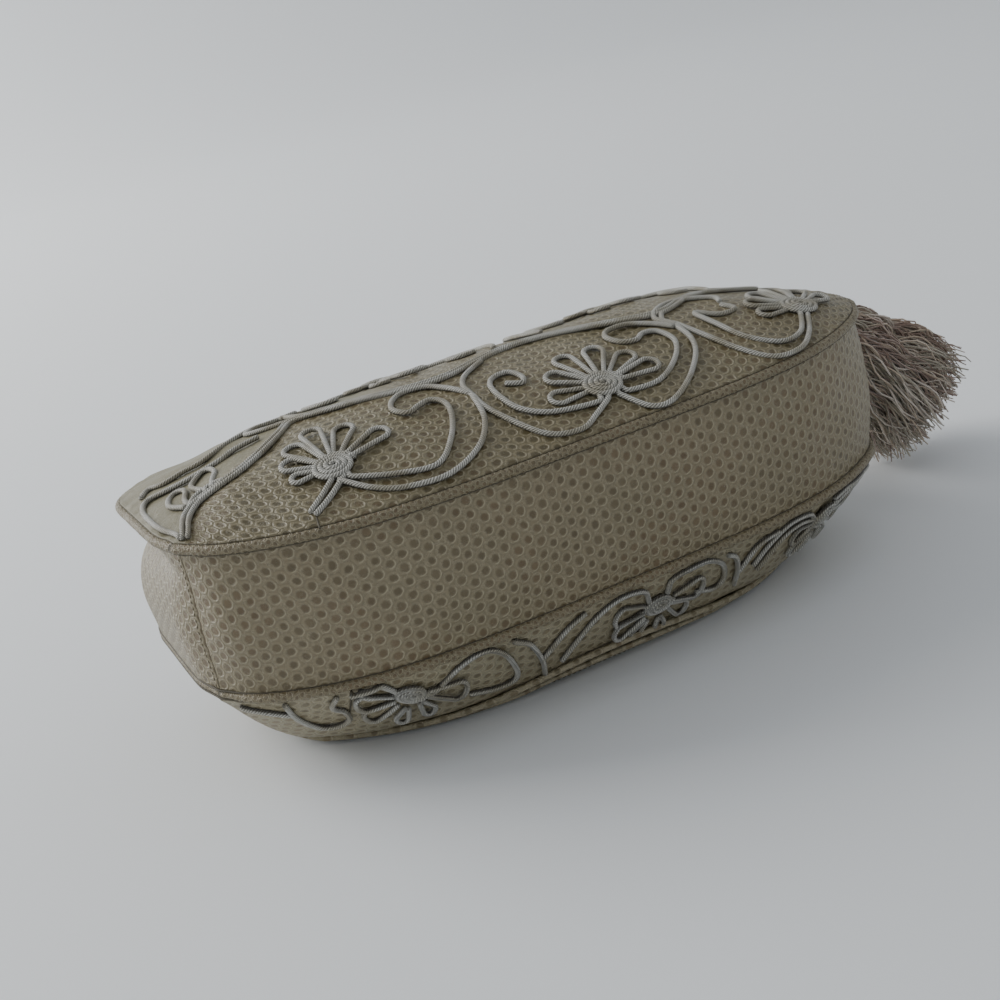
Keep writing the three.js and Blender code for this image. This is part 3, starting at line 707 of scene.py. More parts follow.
@dataclass(frozen=True)
class SpottedSkin:
    """Small-scaled skin: dark spots on a hexagonal lattice, in a paler raised web with fine creases; the
    creases and one side of each spot's rim carry painted highlight.
    """

    name: str = "spotted_skin"
    pitch: float = 4.9 * MM
    spot: float = 0.25
    web: tuple[float, ...] = rgb(134, 121, 96)
    web_cool: tuple[float, ...] = rgb(123, 115, 91)
    core: tuple[float, ...] = rgb(94, 82, 59)
    core_warm: tuple[float, ...] = rgb(102, 83, 58)
    plain: tuple[float, ...] = rgb(128, 124, 106)
    core_deep: tuple[float, ...] = rgb(74, 69, 52)
    dust: tuple[float, ...] = rgb(101, 96, 80)
    # painted highlight colour of the fine creases
    crease: tuple[float, ...] = rgb(168, 160, 136)
    rim: tuple[float, ...] = rgb(150, 141, 116)
    # painted highlight on the lower-right side of each spot's rim
    lip_highlight: tuple[float, ...] = rgb(178, 168, 142)
    drift: float = 0.6
    shake: float = 0.06
    roughness: float = 0.4
    gloss: float = 0.45
    depth: float = 0.5 * MM

    def material(self) -> bpy.types.Material:
        """Build it. The spot's distance is measured to the nearest of two interleaved lattices.

        Returns:
            The material.
        """
        s = Shader(self.name)
        place = s.node("ShaderNodeTexCoord", {}).outputs["Object"]
        uv = s.node("ShaderNodeUVMap", {}, uv_map="Surface").outputs[0]
        root = math.sqrt(3)
        drift = s.node("ShaderNodeTexNoise", {"Vector": place, "Scale": 55.0, "Detail": 2.0}).outputs[1]
        drift = s.vector("SUBTRACT", drift, (0.5, 0.5, 0.5))
        shake = s.node("ShaderNodeTexNoise", {"Vector": place, "Scale": 260.0, "Detail": 1.0}).outputs[1]
        shake = s.vector("SUBTRACT", shake, (0.5, 0.5, 0.5))
        quarter = {"Vector": uv, "Angle": math.pi / 2}
        swapped = s.node("ShaderNodeVectorRotate", quarter, rotation_type="Z_AXIS")
        scaled = s.vector("MULTIPLY", swapped.outputs[0], (1 / self.pitch, 1 / self.pitch, 0))
        spread = s.vector("ADD", s.vector("MULTIPLY", drift, (self.drift, self.drift, 0)),
                          s.vector("MULTIPLY", shake, (self.shake, self.shake, 0)))
        point = s.vector("ADD", scaled, spread)

        def nearest(shift: tuple[float, float, float]) -> Socket:
            """From the centre of the cell of one lattice to the point."""
            moved = s.vector("MULTIPLY", s.vector("ADD", point, shift), (1, 1 / root, 0))
            centred = s.vector("SUBTRACT", s.vector("FRACTION", moved), (0.5, 0.5, 0))
            return s.vector("MULTIPLY", centred, (1, root, 0))

        first = nearest((0, 0, 0))
        second = nearest((0.5, root / 2, 0))
        closer = s.math("LESS_THAN", s.length(second), s.length(first))
        made = s.nodes.new("ShaderNodeMix")
        made.data_type = "VECTOR"
        s.put(made.inputs[0], closer)
        s.put(made.inputs[4], first)
        s.put(made.inputs[5], second)
        cell = made.outputs[1]
        centre = s.vector("SNAP", s.vector("SUBTRACT", point, cell), (0.25, 0.25, 1))
        chance = s.node("ShaderNodeTexWhiteNoise", {"Vector": centre}).outputs[0]
        fine = s.noise(place, 1.1 * MM, 3.0)
        broad = s.noise(place, 42 * MM, 2.0)
        distance = s.math("ADD", s.length(cell), s.math("MULTIPLY", s.math("SUBTRACT", fine, 0.5), 0.1))
        distance = s.math("ADD", distance, s.math("MULTIPLY", s.math("SUBTRACT", chance, 0.5), 0.05))
        spot = s.step(distance, self.spot + 0.08, self.spot - 0.08)
        plain = s.attribute("tone")
        spotted = s.math("SUBTRACT", 1.0, plain, clamp=True)
        spot = s.math("MULTIPLY", spot, spotted)
        sides = [s.math("ABSOLUTE", s.dot(cell, way)) for way in
                 ((1, 0, 0), (0.5, root / 2, 0), (0.5, -root / 2, 0))]
        edge = s.math("SUBTRACT", 0.5, s.math("MAXIMUM", sides[0], s.math("MAXIMUM", sides[1], sides[2])))
        groove = s.step(edge, 0.0, 0.07)
        crinkle = s.math("ABSOLUTE", s.math("SUBTRACT", s.noise(place, 2.6 * MM, 3.0), 0.5))
        thread = s.step(crinkle, 0.035, 0.0)
        warm = s.step(s.noise(place, 30 * MM, 1.0), 0.42, 0.62)
        web = s.colour(broad, self.web, self.web_cool)
        web = s.colour(s.math("MULTIPLY", plain, 0.9), web, self.plain)
        web = s.colour(s.math("MULTIPLY", s.step(fine, 0.62, 0.3), 0.35), web, self.dust)
        # painted highlight: the fine crease lines are lightened
        web = s.colour(s.math("MULTIPLY", thread, 0.4), web, self.crease)
        rim = s.math("MULTIPLY", s.step(distance, self.spot, self.spot + 0.08), s.step(distance, 0.54, 0.44))
        web = s.colour(s.math("MULTIPLY", s.math("MULTIPLY", rim, spotted), 0.25), web, self.rim)
        band = s.math("MULTIPLY", s.step(distance, self.spot + 0.03, self.spot + 0.08),
                      s.step(distance, self.spot + 0.18, self.spot + 0.11))
        # painted highlight: a pale crescent on the lower-right side of each spot's rim
        lower_right = s.step(s.dot(cell, (0.6, 0.8, 0)), 0.02, 0.2)
        lip_highlight = s.math("MULTIPLY", s.math("MULTIPLY", band, lower_right), spotted)
        web = s.colour(s.math("MULTIPLY", lip_highlight, 0.6), web, self.lip_highlight)
        core = s.colour(warm, self.core, self.core_warm)
        core = s.colour(s.math("MULTIPLY", chance, 0.3), core, self.core_deep)
        faint = s.math("ADD", 0.62, s.math("MULTIPLY", chance, 0.26))
        shade = s.colour(s.math("MULTIPLY", spot, faint), web, core)
        s.put(s.surface.inputs["Base Color"], shade)
        rough = s.math("ADD", self.roughness, s.math("MULTIPLY", s.math("SUBTRACT", fine, 0.5), 0.3))
        s.put(s.surface.inputs["Roughness"], s.math("ADD", rough, s.math("MULTIPLY", plain, 0.1)))
        s.surface.inputs["Specular IOR Level"].default_value = self.gloss
        fall = s.math("MULTIPLY", s.step(distance, 0.4, 0.56), 0.5)
        pillow = s.math("SUBTRACT", s.step(distance, 0.2, 0.38), fall)
        relief = s.math("MULTIPLY", s.math("MULTIPLY", pillow, spotted), 0.5)
        relief = s.math("ADD", relief, s.math("MULTIPLY", lip_highlight, 0.35))
        relief = s.math("ADD", relief, s.math("MULTIPLY", s.math("MULTIPLY", groove, spotted), 0.12))
        relief = s.math("ADD", relief, s.math("MULTIPLY", thread, 0.16))
        relief = s.math("ADD", relief, s.math("MULTIPLY", fine, 0.3))
        s.bump(relief, self.depth, 1.0)
        return s.material


@dataclass(frozen=True)
class WoundCord:
    """Cord wound with thread: fine slanting ridges, silvery and tan in broad patches, with painted shade in the
    grooves and on the side next to the skin.
    """

    name: str = "wound_cord"
    light: tuple[float, ...] = rgb(222, 221, 212)
    # painted shade in the grooves between the wound ridges, also used for random dark flecks
    dark: tuple[float, ...] = rgb(88, 84, 72)
    tan: tuple[float, ...] = rgb(182, 175, 154)
    # painted shade on the side of the cord next to the skin
    under: tuple[float, ...] = rgb(50, 45, 35)
    ridge: float = 1.05 * MM
    slant: float = 0.8

    def material(self) -> bpy.types.Material:
        """Build it.

        A ridge is a sine of the length walked plus a share of the way round; the grooves between ridges get
        painted shade.
        The side next to the skin gets painted shade as well.

        Returns:
            The material.
        """
        s = Shader(self.name)
        place = s.node("ShaderNodeTexCoord", {}).outputs["Object"]
        uv = s.node("ShaderNodeUVMap", {}, uv_map="Surface").outputs[0]
        wobble = s.math("MULTIPLY", s.noise(place, 3 * MM), 1.0)
        turns = s.math("DIVIDE", s.dot(uv, (1, self.slant, 0)), self.ridge)
        wave = s.math("SINE", s.math("MULTIPLY", s.math("ADD", turns, wobble), 2 * math.pi))
        ridge = s.step(wave, -0.9, 0.8)
        fine = s.noise(place, 0.5 * MM, 2.0)
        shade = s.colour(s.step(s.noise(place, 14 * MM), 0.4, 0.66), self.light, self.tan)
        # painted shade: the grooves between the ridges are darkened
        shade = s.colour(s.math("MULTIPLY", s.math("SUBTRACT", 1.0, ridge), 0.75), shade, self.dark)
        shade = s.colour(s.math("MULTIPLY", s.step(fine, 0.6, 0.3), 0.3), shade, self.dark)
        # painted shade: the side of the cord next to the skin is darkened, standing for the shadow under it
        underside_shade_mask = s.math("MULTIPLY", s.step(s.attribute("tone"), -0.1, -0.7), 0.85)
        shade = s.colour(underside_shade_mask, shade, self.under)
        s.put(s.surface.inputs["Base Color"], shade)
        s.surface.inputs["Roughness"].default_value = 0.5
        s.surface.inputs["Sheen Weight"].default_value = 0.25
        s.surface.inputs["Sheen Roughness"].default_value = 0.4
        relief = s.math("ADD", s.math("MULTIPLY", ridge, 0.8), s.math("MULTIPLY", fine, 0.4))
        s.bump(relief, 0.5 * MM, 1.0)
        return s.material


@dataclass(frozen=True)
class TasselYarn:
    """Soft crinkled yarn in mauve-brown, tan and grey-green strands."""

    name: str = "tassel_yarn"
    shades: tuple[tuple[float, ...], ...] = (rgb(162, 137, 123), rgb(212, 193, 170), rgb(180, 171, 151),
                                             rgb(228, 216, 202))

    def material(self) -> bpy.types.Material:
        """Build it. Each strand's own grey value picks its shade.

        Returns:
            The material.
        """
        s = Shader(self.name)
        place = s.node("ShaderNodeTexCoord", {}).outputs["Object"]
        tone = s.attribute("tone")
        shade = s.colour(s.step(tone, 0.15, 0.4), self.shades[0], self.shades[1])
        shade = s.colour(s.step(tone, 0.5, 0.65), shade, self.shades[2])
        shade = s.colour(s.step(tone, 0.85, 0.95), shade, self.shades[3])
        fine = s.noise(place, 0.8 * MM, 2.0)
        shade = s.colour(s.math("MULTIPLY", fine, 0.4), shade, rgb(84, 75, 68))
        s.put(s.surface.inputs["Base Color"], shade)
        s.surface.inputs["Roughness"].default_value = 0.75
        s.surface.inputs["Sheen Weight"].default_value = 0.4
        s.bump(fine, 0.2 * MM, 0.5)
        return s.material


@dataclass(frozen=True)
class SeamThread:
    """Dark sewing thread and the shadow of the seam that it lies in."""

    name: str = "seam_thread"
    shade: tuple[float, ...] = rgb(58, 53, 42)
    worn: tuple[float, ...] = rgb(92, 86, 70)

    def material(self) -> bpy.types.Material:
        """Build it."""
        s = Shader(self.name)
        place = s.node("ShaderNodeTexCoord", {}).outputs["Object"]
        fine = s.noise(place, 0.9 * MM, 2.0)
        s.put(s.surface.inputs["Base Color"], s.colour(fine, self.shade, self.worn))
        s.surface.inputs["Roughness"].default_value = 0.7
        s.bump(fine, 0.15 * MM, 0.6)
        return s.material


@dataclass(frozen=True)
class BrushedMetal:
    """Dull brushed steel of the snap."""

    name: str = "snap_metal"
    dull: tuple[float, ...] = rgb(150, 146, 136)
    bright: tuple[float, ...] = rgb(186, 184, 176)

    def material(self) -> bpy.types.Material:
        """Build it. The brushing is noise stretched along X.

        Returns:
            The material.
        """
        s = Shader(self.name)
        place = s.node("ShaderNodeTexCoord", {}).outputs["Object"]
        grain = s.noise(s.vector("MULTIPLY", place, (0.1, 1, 1)), 0.4 * MM, 3.0)
        s.put(s.surface.inputs["Base Color"], s.colour(grain, self.dull, self.bright))
        s.surface.inputs["Metallic"].default_value = 1.0
        s.put(s.surface.inputs["Roughness"], s.math("ADD", 0.28, s.math("MULTIPLY", grain, 0.2)))
        s.bump(grain, 0.05 * MM, 0.4)
        return s.material


@dataclass(frozen=True)
class PaleFloor:
    """Matt pale floor."""

    name: str = "pale_floor"
    shade: tuple[float, ...] = rgb(233, 236, 238)
    cloudy: tuple[float, ...] = rgb(224, 228, 231)

    def material(self) -> bpy.types.Material:
        """Build it with a faint unevenness.

        Returns:
            The material.
        """
        s = Shader(self.name)
        place = s.node("ShaderNodeTexCoord", {}).outputs["Object"]
        cloud = s.noise(place, 600 * MM, 2.0)
        share = s.math("MULTIPLY", cloud, 0.2)
        s.put(s.surface.inputs["Base Color"], s.colour(share, self.shade, self.cloudy))
        s.surface.inputs["Roughness"].default_value = 0.6
        return s.material


def dress(piece: bpy.types.Object, material: bpy.types.Material, slot: str, *nodes: str) -> bpy.types.Object:
    """Give a piece its finish, its body and the nodes that it stands for.

    Args:
        piece: the object.
        material: its material.
        slot: not used.
        nodes: names of the replaced nodes.

    Returns:
        The same object.
    """
    places = np.zeros((len(piece.data.vertices), 3))
    piece.data.vertices.foreach_get("co", places.ravel())
    piece.data.vertices.foreach_set("co", FORM.settled(places).ravel())
    piece.data.update()
    piece.data.materials.append(material)
    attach(piece, "root")
    if nodes:
        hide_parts(*nodes)
    return piece


Point = tuple[float, float]
PLAIN_EDGE: tuple[Point, ...] = ((-140, -42), (-137, -36), (-121, -15), (-100, -1), (-77, 12), (-60, 9),
                                 (-38, -2), (-17, -8), (3, -3), (30, 60))


@dataclass
class Panel:
    """One domed face: a wall of skin from edge to edge, a little wrinkled and puckered at its seam."""

    face: Face
    node: str
    columns: int = 210
    rows: int = 110
    wrinkle: float = 0.35 * MM
    wrinkle_size: float = 26 * MM
    pucker: float = 0.3 * MM
    pucker_reach: float = 0.06
    puckers: int = 95
    plain_end: float = -38 * MM
    plain_fade: float = 12 * MM
    plain_blur: float = 2 * MM

    def plain(self, x: Grid, y: Grid) -> Grid:
        """1 where the skin is plain: past the boundary cord at the left end of the back.

        Args:
            x: place across the bag.
            y: place up the bag.

        Returns:
            The grey value of each point.
        """
        if self.face is Face.FRONT:
            return np.zeros_like(x)
        line_x, line_y = np.array(PLAIN_EDGE).T * MM
        past = y - np.interp(x, line_x, line_y)
        within = np.clip((self.plain_end - x) / self.plain_fade, 0, 1)
        return np.clip(past / self.plain_blur + 0.5, 0, 1) * within

    def build(self, material: bpy.types.Material) -> bpy.types.Object:
        """Make the wall: columns across, rows from the bottom seam to the mouth.

        Args:
            material: the skin.

        Returns:
            The piece.
        """
        x = FORM.half * 0.9995 * crowded(self.columns, 0.94)[None]
        up = (crowded(self.rows, 0.9)[:, None] + 1) / 2
        low, high = FORM.bottom_y(x), FORM.mouth_y(x)
        y = low + (high - low) * up
        x = np.broadcast_to(x, y.shape)
        share = FORM.share(x, y)
        flat = np.stack([x, y, np.zeros_like(x)], -1)
        free = np.clip((1 - share) / 0.02, 0, 1)
        edge = np.exp(-(1 - share) / self.pucker_reach)
        around = np.arctan2(y, x)
        folds = np.sin(around * self.puckers + 3 * ripples(flat, 5, 50 * MM)) * edge * self.pucker
        lift = free * (self.wrinkle * ripples(flat, 11, self.wrinkle_size) + folds)
        if self.face is Face.FRONT:
            lift = np.minimum(lift, 0)
        outer = FORM.over(self.face, x, y, lift)
        inner = FORM.over(self.face, x, y, lift - FORM.wall)
        points, faces, uv = shell(outer, inner)
        tone = np.tile(self.plain(x, y).ravel(), 2)
        piece = mesh_object(self.node + "_skin", points, faces, uv, tone)
        return dress(piece, material, "skin", self.node)


def edge_line(count: int, out: float) -> Grid:
    """The seam line round a panel, moved outwards in its plane, against the clock from the left corner.

    Args:
        count: points along it.
        out: how far outside the edge.

    Returns:
        Points in the plane.
    """
    x = FORM.half * crowded(count // 2, 0.97)
    bottom = np.stack([x, FORM.bottom_y(x)], -1)
    side_y = np.linspace(FORM.corner_y, FORM.corner_y + FORM.side_length, count // 8)[1:-1]
    right = np.stack([np.full_like(side_y, FORM.half), side_y], -1)
    top_x = FORM.half * crowded(count // 2, 0.98)[::-1]
    top = np.stack([top_x, FORM.mouth_y(top_x)], -1)
    left = right[::-1] * [-1, 1]
    line = np.concatenate([bottom, right, top, left])
    closed = np.concatenate([line, line[:1]])
    line = resampled(closed, np.linspace(0, walked(closed)[-1], count, endpoint=False))
    for _ in range(3):
        line = (np.roll(line, 1, 0) + 2 * line + np.roll(line, -1, 0)) / 4
    along = np.roll(line, -1, 0) - np.roll(line, 1, 0)
    along /= np.linalg.norm(along, axis=1, keepdims=True)
    return line + out * np.stack([along[:, 1], -along[:, 0]], -1)


@dataclass
class Pipings:
    """The welts of the two seams, the dark thread beside each welt, which also stands for painted shade in the
    groove, and the piecing seams.
    """

    steps: int = 620
    sides: int = 12
    beading: float = 0.12 * MM
    beading_length: float = 2.6 * MM
    thread: float = 0.42 * MM
    faint_thread: float = 0.24 * MM
    finer: float = 2.1
    front_tuck: float = 1.5 * MM
    tuck_start: float = 0.9
    seam_length: float = 0.75
    groove_share: float = 0.86
    crease_share: float = 0.97
    groove_in: float = 0.1 * MM
    crease_out: float = 0.7 * MM

    def welt(self, name: str, node: str, height: float, tuck: float,
             material: bpy.types.Material) -> bpy.types.Object:
        """A round welt along the seam line, its radius waving a little over each scale.

        Up the bag's sides it is drawn inwards and thinned by a smooth step of the way across.

        Args:
            name: the piece's name.
            node: the node that it replaces.
            height: the seam's z.
            tuck: how far it is drawn inwards up the sides.
            material: the skin.

        Returns:
            The piece.
        """
        line = edge_line(self.steps, FORM.piping_out)
        side = np.clip((np.abs(line[:, 0]) / FORM.half - self.tuck_start) / (1 - self.tuck_start), 0, 1)
        side = smooth(side)
        line[:, 0] -= np.sign(line[:, 0]) * tuck * side
        path = np.concatenate([line, np.full((len(line), 1), height)], 1)
        along = np.linspace(0, 1, len(path)) * self.seam_length
        radius = FORM.piping_radius + self.beading * (np.sin(along * 2 * np.pi / self.beading_length) - 1)
        radius = radius - tuck * side * 0.3
        points, faces, uv = tube(path, radius, self.sides, closed=True)
        piece = mesh_object(name, points, faces, uv * self.finer, np.zeros(len(points)))
        return dress(piece, material, "skin", node)

    def seam(self, name: str, height: float, out: float, radius: float,
             material: bpy.types.Material) -> bpy.types.Object:
        """A dark thread in the groove between a welt and the skin beside it, which also stands for the groove's
        painted shade.

        Args:
            name: the piece's name.
            height: the groove's z.
            out: how far outside the panel's edge.
            radius: the thread's radius.
            material: the thread.

        Returns:
            The piece.
        """
        line = edge_line(self.steps, out)
        path = np.concatenate([line, np.full((len(line), 1), height)], 1)
        points, faces, uv = tube(path, radius, 6, closed=True)
        return dress(mesh_object(name, points, faces, uv), material, "skin")

    def piecings(self, material: bpy.types.Material) -> bpy.types.Object:
        """Thin dark lines where two skins meet, beside the left flower at the back and the front.

        Args:
            material: the thread.

        Returns:
            The piece.
        """
        heap = MeshHeap()
        for face, route in ((Face.BACK, ((-96, -55), (-99, -66))), (Face.FRONT, ((-102, -66), (-101, -50)))):
            line = smooth_path(np.array(route) * MM, 1 * MM)
            heap.add(tube(FORM.over(face, line[:, 0], line[:, 1], 0.05 * MM), 0.35 * MM, 6))
        return dress(heap.build("piecing_seams"), material, "skin")

    def build(self, skin: bpy.types.Material, thread: bpy.types.Material) -> int:
        """Make both welts, their four threads and the piecing seams.

        Args:
            skin: the skin.
            thread: the seam's thread.

        Returns:
            How many pieces were made.
        """
        self.welt("back_welt", "back_piping", FORM.back_seam, 0.0, skin)
        self.welt("front_welt", "front_piping", FORM.front_seam, self.front_tuck, skin)
        groove = FORM.piping_radius * self.groove_share
        crease = FORM.piping_radius * self.crease_share
        self.seam("back_seam_inside", FORM.back_seam + groove, -self.groove_in, self.faint_thread, thread)
        self.seam("back_seam_outside", FORM.back_seam - crease, self.crease_out, self.thread, thread)
        self.seam("front_seam_inside", FORM.front_seam - groove, -self.groove_in, self.thread, thread)
        self.seam("front_seam_outside", FORM.front_seam + groove, -self.groove_in, self.thread, thread)
        self.piecings(thread)
        return 7


@dataclass
class Gussets:
    """The side wall: a long bottom gusset and an end gusset up each side, meeting in soft corners."""

    spacing: float = 0.95 * MM
    rows: int = 46
    wall: float = 1.8 * MM
    bulge: float = 2.5 * MM
    wrinkle: float = 0.4 * MM
    corner_softness: float = 7.5 * MM
    seam_dip: float = 0.35 * MM
    seam_reach: float = 1.1 * MM
    stitch_inset: float = 2.2 * MM
    swell_blur: int = 14

    def run(self) -> tuple[Grid, Grid, Grid]:
        """The whole wall in one grid, along it by up between the seams.

        The line goes down the left end, along the bottom and up the right end. At each height it is
        the ends' folded outline joined to the bottom seam, averaged over a short stretch so that the
        corners are round, and then bowed outwards as a half sine of the way up.

        Returns:
            Outer points, their normals, and the numbers of the two columns at the corners.
        """
        low, high = FORM.front_seam + FORM.seam_gap * 0.6, FORM.back_seam - FORM.seam_gap * 0.6
        up = np.linspace(0, 1, self.rows)[:, None]
        z = low + (high - low) * up
        reach = FORM.side_length + FORM.end_turn
        side_y = FORM.corner_y + reach * np.linspace(1, 0, int(reach / self.spacing))
        share = crowded(2000, 0.9)
        bottom = np.stack([FORM.half * share, FORM.bottom_y(FORM.half * share)], -1)
        length = walked(bottom)[-1]
        bottom = resampled(bottom, np.linspace(0, length, int(length / self.spacing)))
        side = np.broadcast_to(side_y[None], (self.rows, len(side_y)))
        end_x = FORM.end_x(side, np.broadcast_to(z, side.shape))
        x = np.concatenate([-end_x, np.broadcast_to(bottom[None, 1:-1, 0], (self.rows, len(bottom) - 2)),
                            end_x[:, ::-1]], 1)
        y = np.concatenate([side_y, bottom[1:-1, 1], side_y[::-1]])
        y = np.broadcast_to(y[None], x.shape)
        grid = np.stack([x, y, np.broadcast_to(z, x.shape)], -1)
        width = self.corner_softness / self.spacing
        taps = np.arange(-int(3 * width), int(3 * width) + 1)
        weight = np.exp(-0.5 * (taps / width) ** 2)
        weight /= weight.sum()
        padded = np.pad(grid, ((0, 0), (len(taps) // 2,) * 2, (0, 0)), "reflect", reflect_type="odd")
        soft = sum(w * padded[:, k:k + grid.shape[1]] for k, w in enumerate(weight))
        free = np.sin(np.pi * up)[..., None] ** 0.5
        grid[..., :2] += (soft - grid)[..., :2] * (0.25 + 0.75 * free)
        normal = grid_normals(grid)
        outward = (normal * (grid - [0, -FORM.corner_y, 0])).sum(-1, keepdims=True)
        normal *= np.sign(outward.mean(0, keepdims=True))
        normal[..., 2] = 0
        normal /= np.linalg.norm(normal, axis=-1, keepdims=True)
        columns = np.arange(grid.shape[1])
        corners = np.array([len(side_y) - 1, len(side_y) + len(bottom) - 3])
        past = np.abs(columns[:, None] - corners).min(1) * self.spacing
        middle = (columns > corners[0]) & (columns < corners[1])
        swell = np.where(middle, self.bulge, 0.3 * self.bulge)[None] * np.sin(np.pi * up)
        reach = self.swell_blur
        swell = sum(np.roll(swell, k, 1) for k in range(-reach, reach + 1)) / (2 * reach + 1)
        swell = swell + self.wrinkle * free[..., 0] * ripples(grid, 23, 30 * MM)
        swell = swell - self.seam_dip * np.exp(-(past[None] / self.seam_reach) ** 2) * free[..., 0]
        return grid + normal * swell[..., None], normal, corners

    def build(self, skin: bpy.types.Material, thread: bpy.types.Material) -> int:
        """Cut the run into its three gussets and sew the two corners.

        Args:
            skin: the skin.
            thread: the stitches' thread.

        Returns:
            How many pieces were made.
        """
        outer, normal, corners = self.run()
        inner = outer - normal * self.wall
        parts = (("left_end_gusset", 0, corners[0] + 1), ("bottom_gusset", corners[0], corners[1] + 1),
                 ("right_end_gusset", corners[1], outer.shape[1]))
        for name, first, last in parts:
            points, faces, uv = shell(outer[:, first:last], inner[:, first:last])
            piece = mesh_object(name + "_skin", points, faces, uv, np.zeros(len(points)))
            dress(piece, skin, "skin", name)
        inset = int(round(self.stitch_inset / self.spacing))
        for name, corner, way in (("left", corners[0], -1), ("right", corners[1], 1)):
            heap = MeshHeap()
            heap.add(tube(outer[:, corner] - normal[:, corner] * 0.1 * MM, 0.2 * MM, 6))
            row = smooth_path(outer[:, corner + way * inset], 0.55 * MM)
            for start in range(2, len(row) - 5, 4):
                heap.add(tube(row[start:start + 3], np.array([0.14, 0.24, 0.14]) * MM, 5))
            dress(heap.build(f"{name}_corner_seam"), thread, "skin")
        return 5


@dataclass
class Flap:
    """The flap: from under the back seam, round the mouth and down the front, with a piped free edge."""

    columns: int = 170
    wrap_rows: int = 26
    front_rows: int = 80
    welt: float = 1.2 * MM
    top_stitch: float = 3.2 * MM
    stitch_length: float = 2.1 * MM

    def grid(self) -> Grid:
        """Outer points: the wrap swells as a half sine, the front part follows the panel at a lift."""
        x = FORM.flap_half * np.linspace(-1, 1, self.columns)[None]
        down = np.linspace(0, 1, self.wrap_rows)[:, None]
        hinge = FORM.back_seam - FORM.seam_gap
        seam_out = FORM.piping_out + FORM.piping_radius + FORM.clearance + FORM.flap_wall
        out = (FORM.flap_wall / 2 + (seam_out - FORM.flap_wall / 2) * down
               + FORM.flap_bulge * np.sin(np.pi * down))
        fall = hinge + (FORM.front_rim - hinge) * down
        wrap = np.stack(np.broadcast_arrays(x, FORM.mouth_y(x) + out, fall), -1)
        part = np.linspace(0, 1, self.front_rows + 1)[1:, None] ** 1.1
        top = FORM.mouth_y(x) - 1 * MM
        y = top + (FORM.flap_edge_y(x) - top) * part
        across = np.broadcast_to(x, y.shape)
        front = FORM.over(Face.FRONT, across, y, FORM.flap_lift + FORM.flap_wall)
        grid = np.concatenate([wrap, front])
        for _ in range(4):
            grid[1:-1] = (grid[:-2] + 2 * grid[1:-1] + grid[2:]) / 4
        return grid

    def build(self, skin: bpy.types.Material, thread: bpy.types.Material) -> int:
        """Make the flap, its welt and its top stitching.

        Args:
            skin: the skin.
            thread: the stitches' thread.

        Returns:
            How many pieces were made.
        """
        outer = self.grid()
        normal = grid_normals(outer)
        if normal[2, self.columns // 2, 1] < 0:
            normal = -normal
        flat = np.clip(outer[..., 2:] / (2 * MM), 0, 1)
        outer = outer + normal * (0.25 * MM * ripples(outer, 41, 28 * MM))[..., None] * flat
        outer[..., 2] = np.maximum(outer[..., 2], 0)
        points, faces, uv = shell(outer, outer - normal * FORM.flap_wall)
        piece = mesh_object("flap_skin", points, faces, uv, np.zeros(len(points)))
        dress(piece, skin, "skin", "flap")
        dress(mesh_object("flap_welt", *self.welt_tube()), skin, "skin", "flap_piping")
        self.stitching(thread)
        return 3

    def edge(self, inset: float, lift: float, count: int) -> Grid:
        """A line along the flap's sides and free edge.

        Args:
            inset: how far inside the edge.
            lift: how far off the front panel.
            count: points along the free edge.

        Returns:
            Points of the line.
        """
        half = FORM.flap_half - inset
        x = np.linspace(-half, half, count)
        y = FORM.flap_edge_y(x) + inset * 1.4
        top = FORM.mouth_y(np.array([half]))[0] - 8 * MM
        rise = np.linspace(top, y[0], 40)[:-1]
        side = np.stack([np.full(39, -half), rise], -1)
        line = np.concatenate([side, np.stack([x, y], -1), side[::-1] * [-1, 1]])
        line = smooth_path(line, 1.2 * MM)
        return FORM.over(Face.FRONT, line[:, 0], line[:, 1], lift)

    def welt_tube(self) -> tuple[Grid, Grid, Grid, Grid]:
        """The round welt of the flap's edge."""
        path = self.edge(-self.welt - 0.6 * MM, self.welt + FORM.clearance, 180)
        points, faces, uv = tube(path, self.welt, 10)
        points[:, 2] = np.maximum(points[:, 2], 0)
        return points, faces, uv, np.zeros(len(points))

    def stitching(self, thread: bpy.types.Material) -> bpy.types.Object:
        """Short stitches along the edge, each a small flat loaf.

        Args:
            thread: the stitches' thread.

        Returns:
            The piece.
        """
        line = self.edge(self.top_stitch, FORM.flap_lift + FORM.flap_wall - 0.05 * MM, 200)
        line = smooth_path(line, self.stitch_length / 4)
        heap = MeshHeap()
        for start in range(0, len(line) - 4, 4):
            heap.add(tube(line[start:start + 3], np.array([0.16, 0.3, 0.16]) * MM, 5))
        piece = heap.build("flap_stitches")
        return dress(piece, thread, "skin")


@dataclass(frozen=True)
class Flower:
    """A flower of cord: a coiled disc, loops for petals and scrolls, in millimetres over a face."""

    name: str
    node: str
    face: Face
    disc: Point
    tips: tuple[Point, ...]
    scrolls: tuple[tuple[Point, ...], ...]
    disc_radius: float = 7.4
    oval: float = 0.9


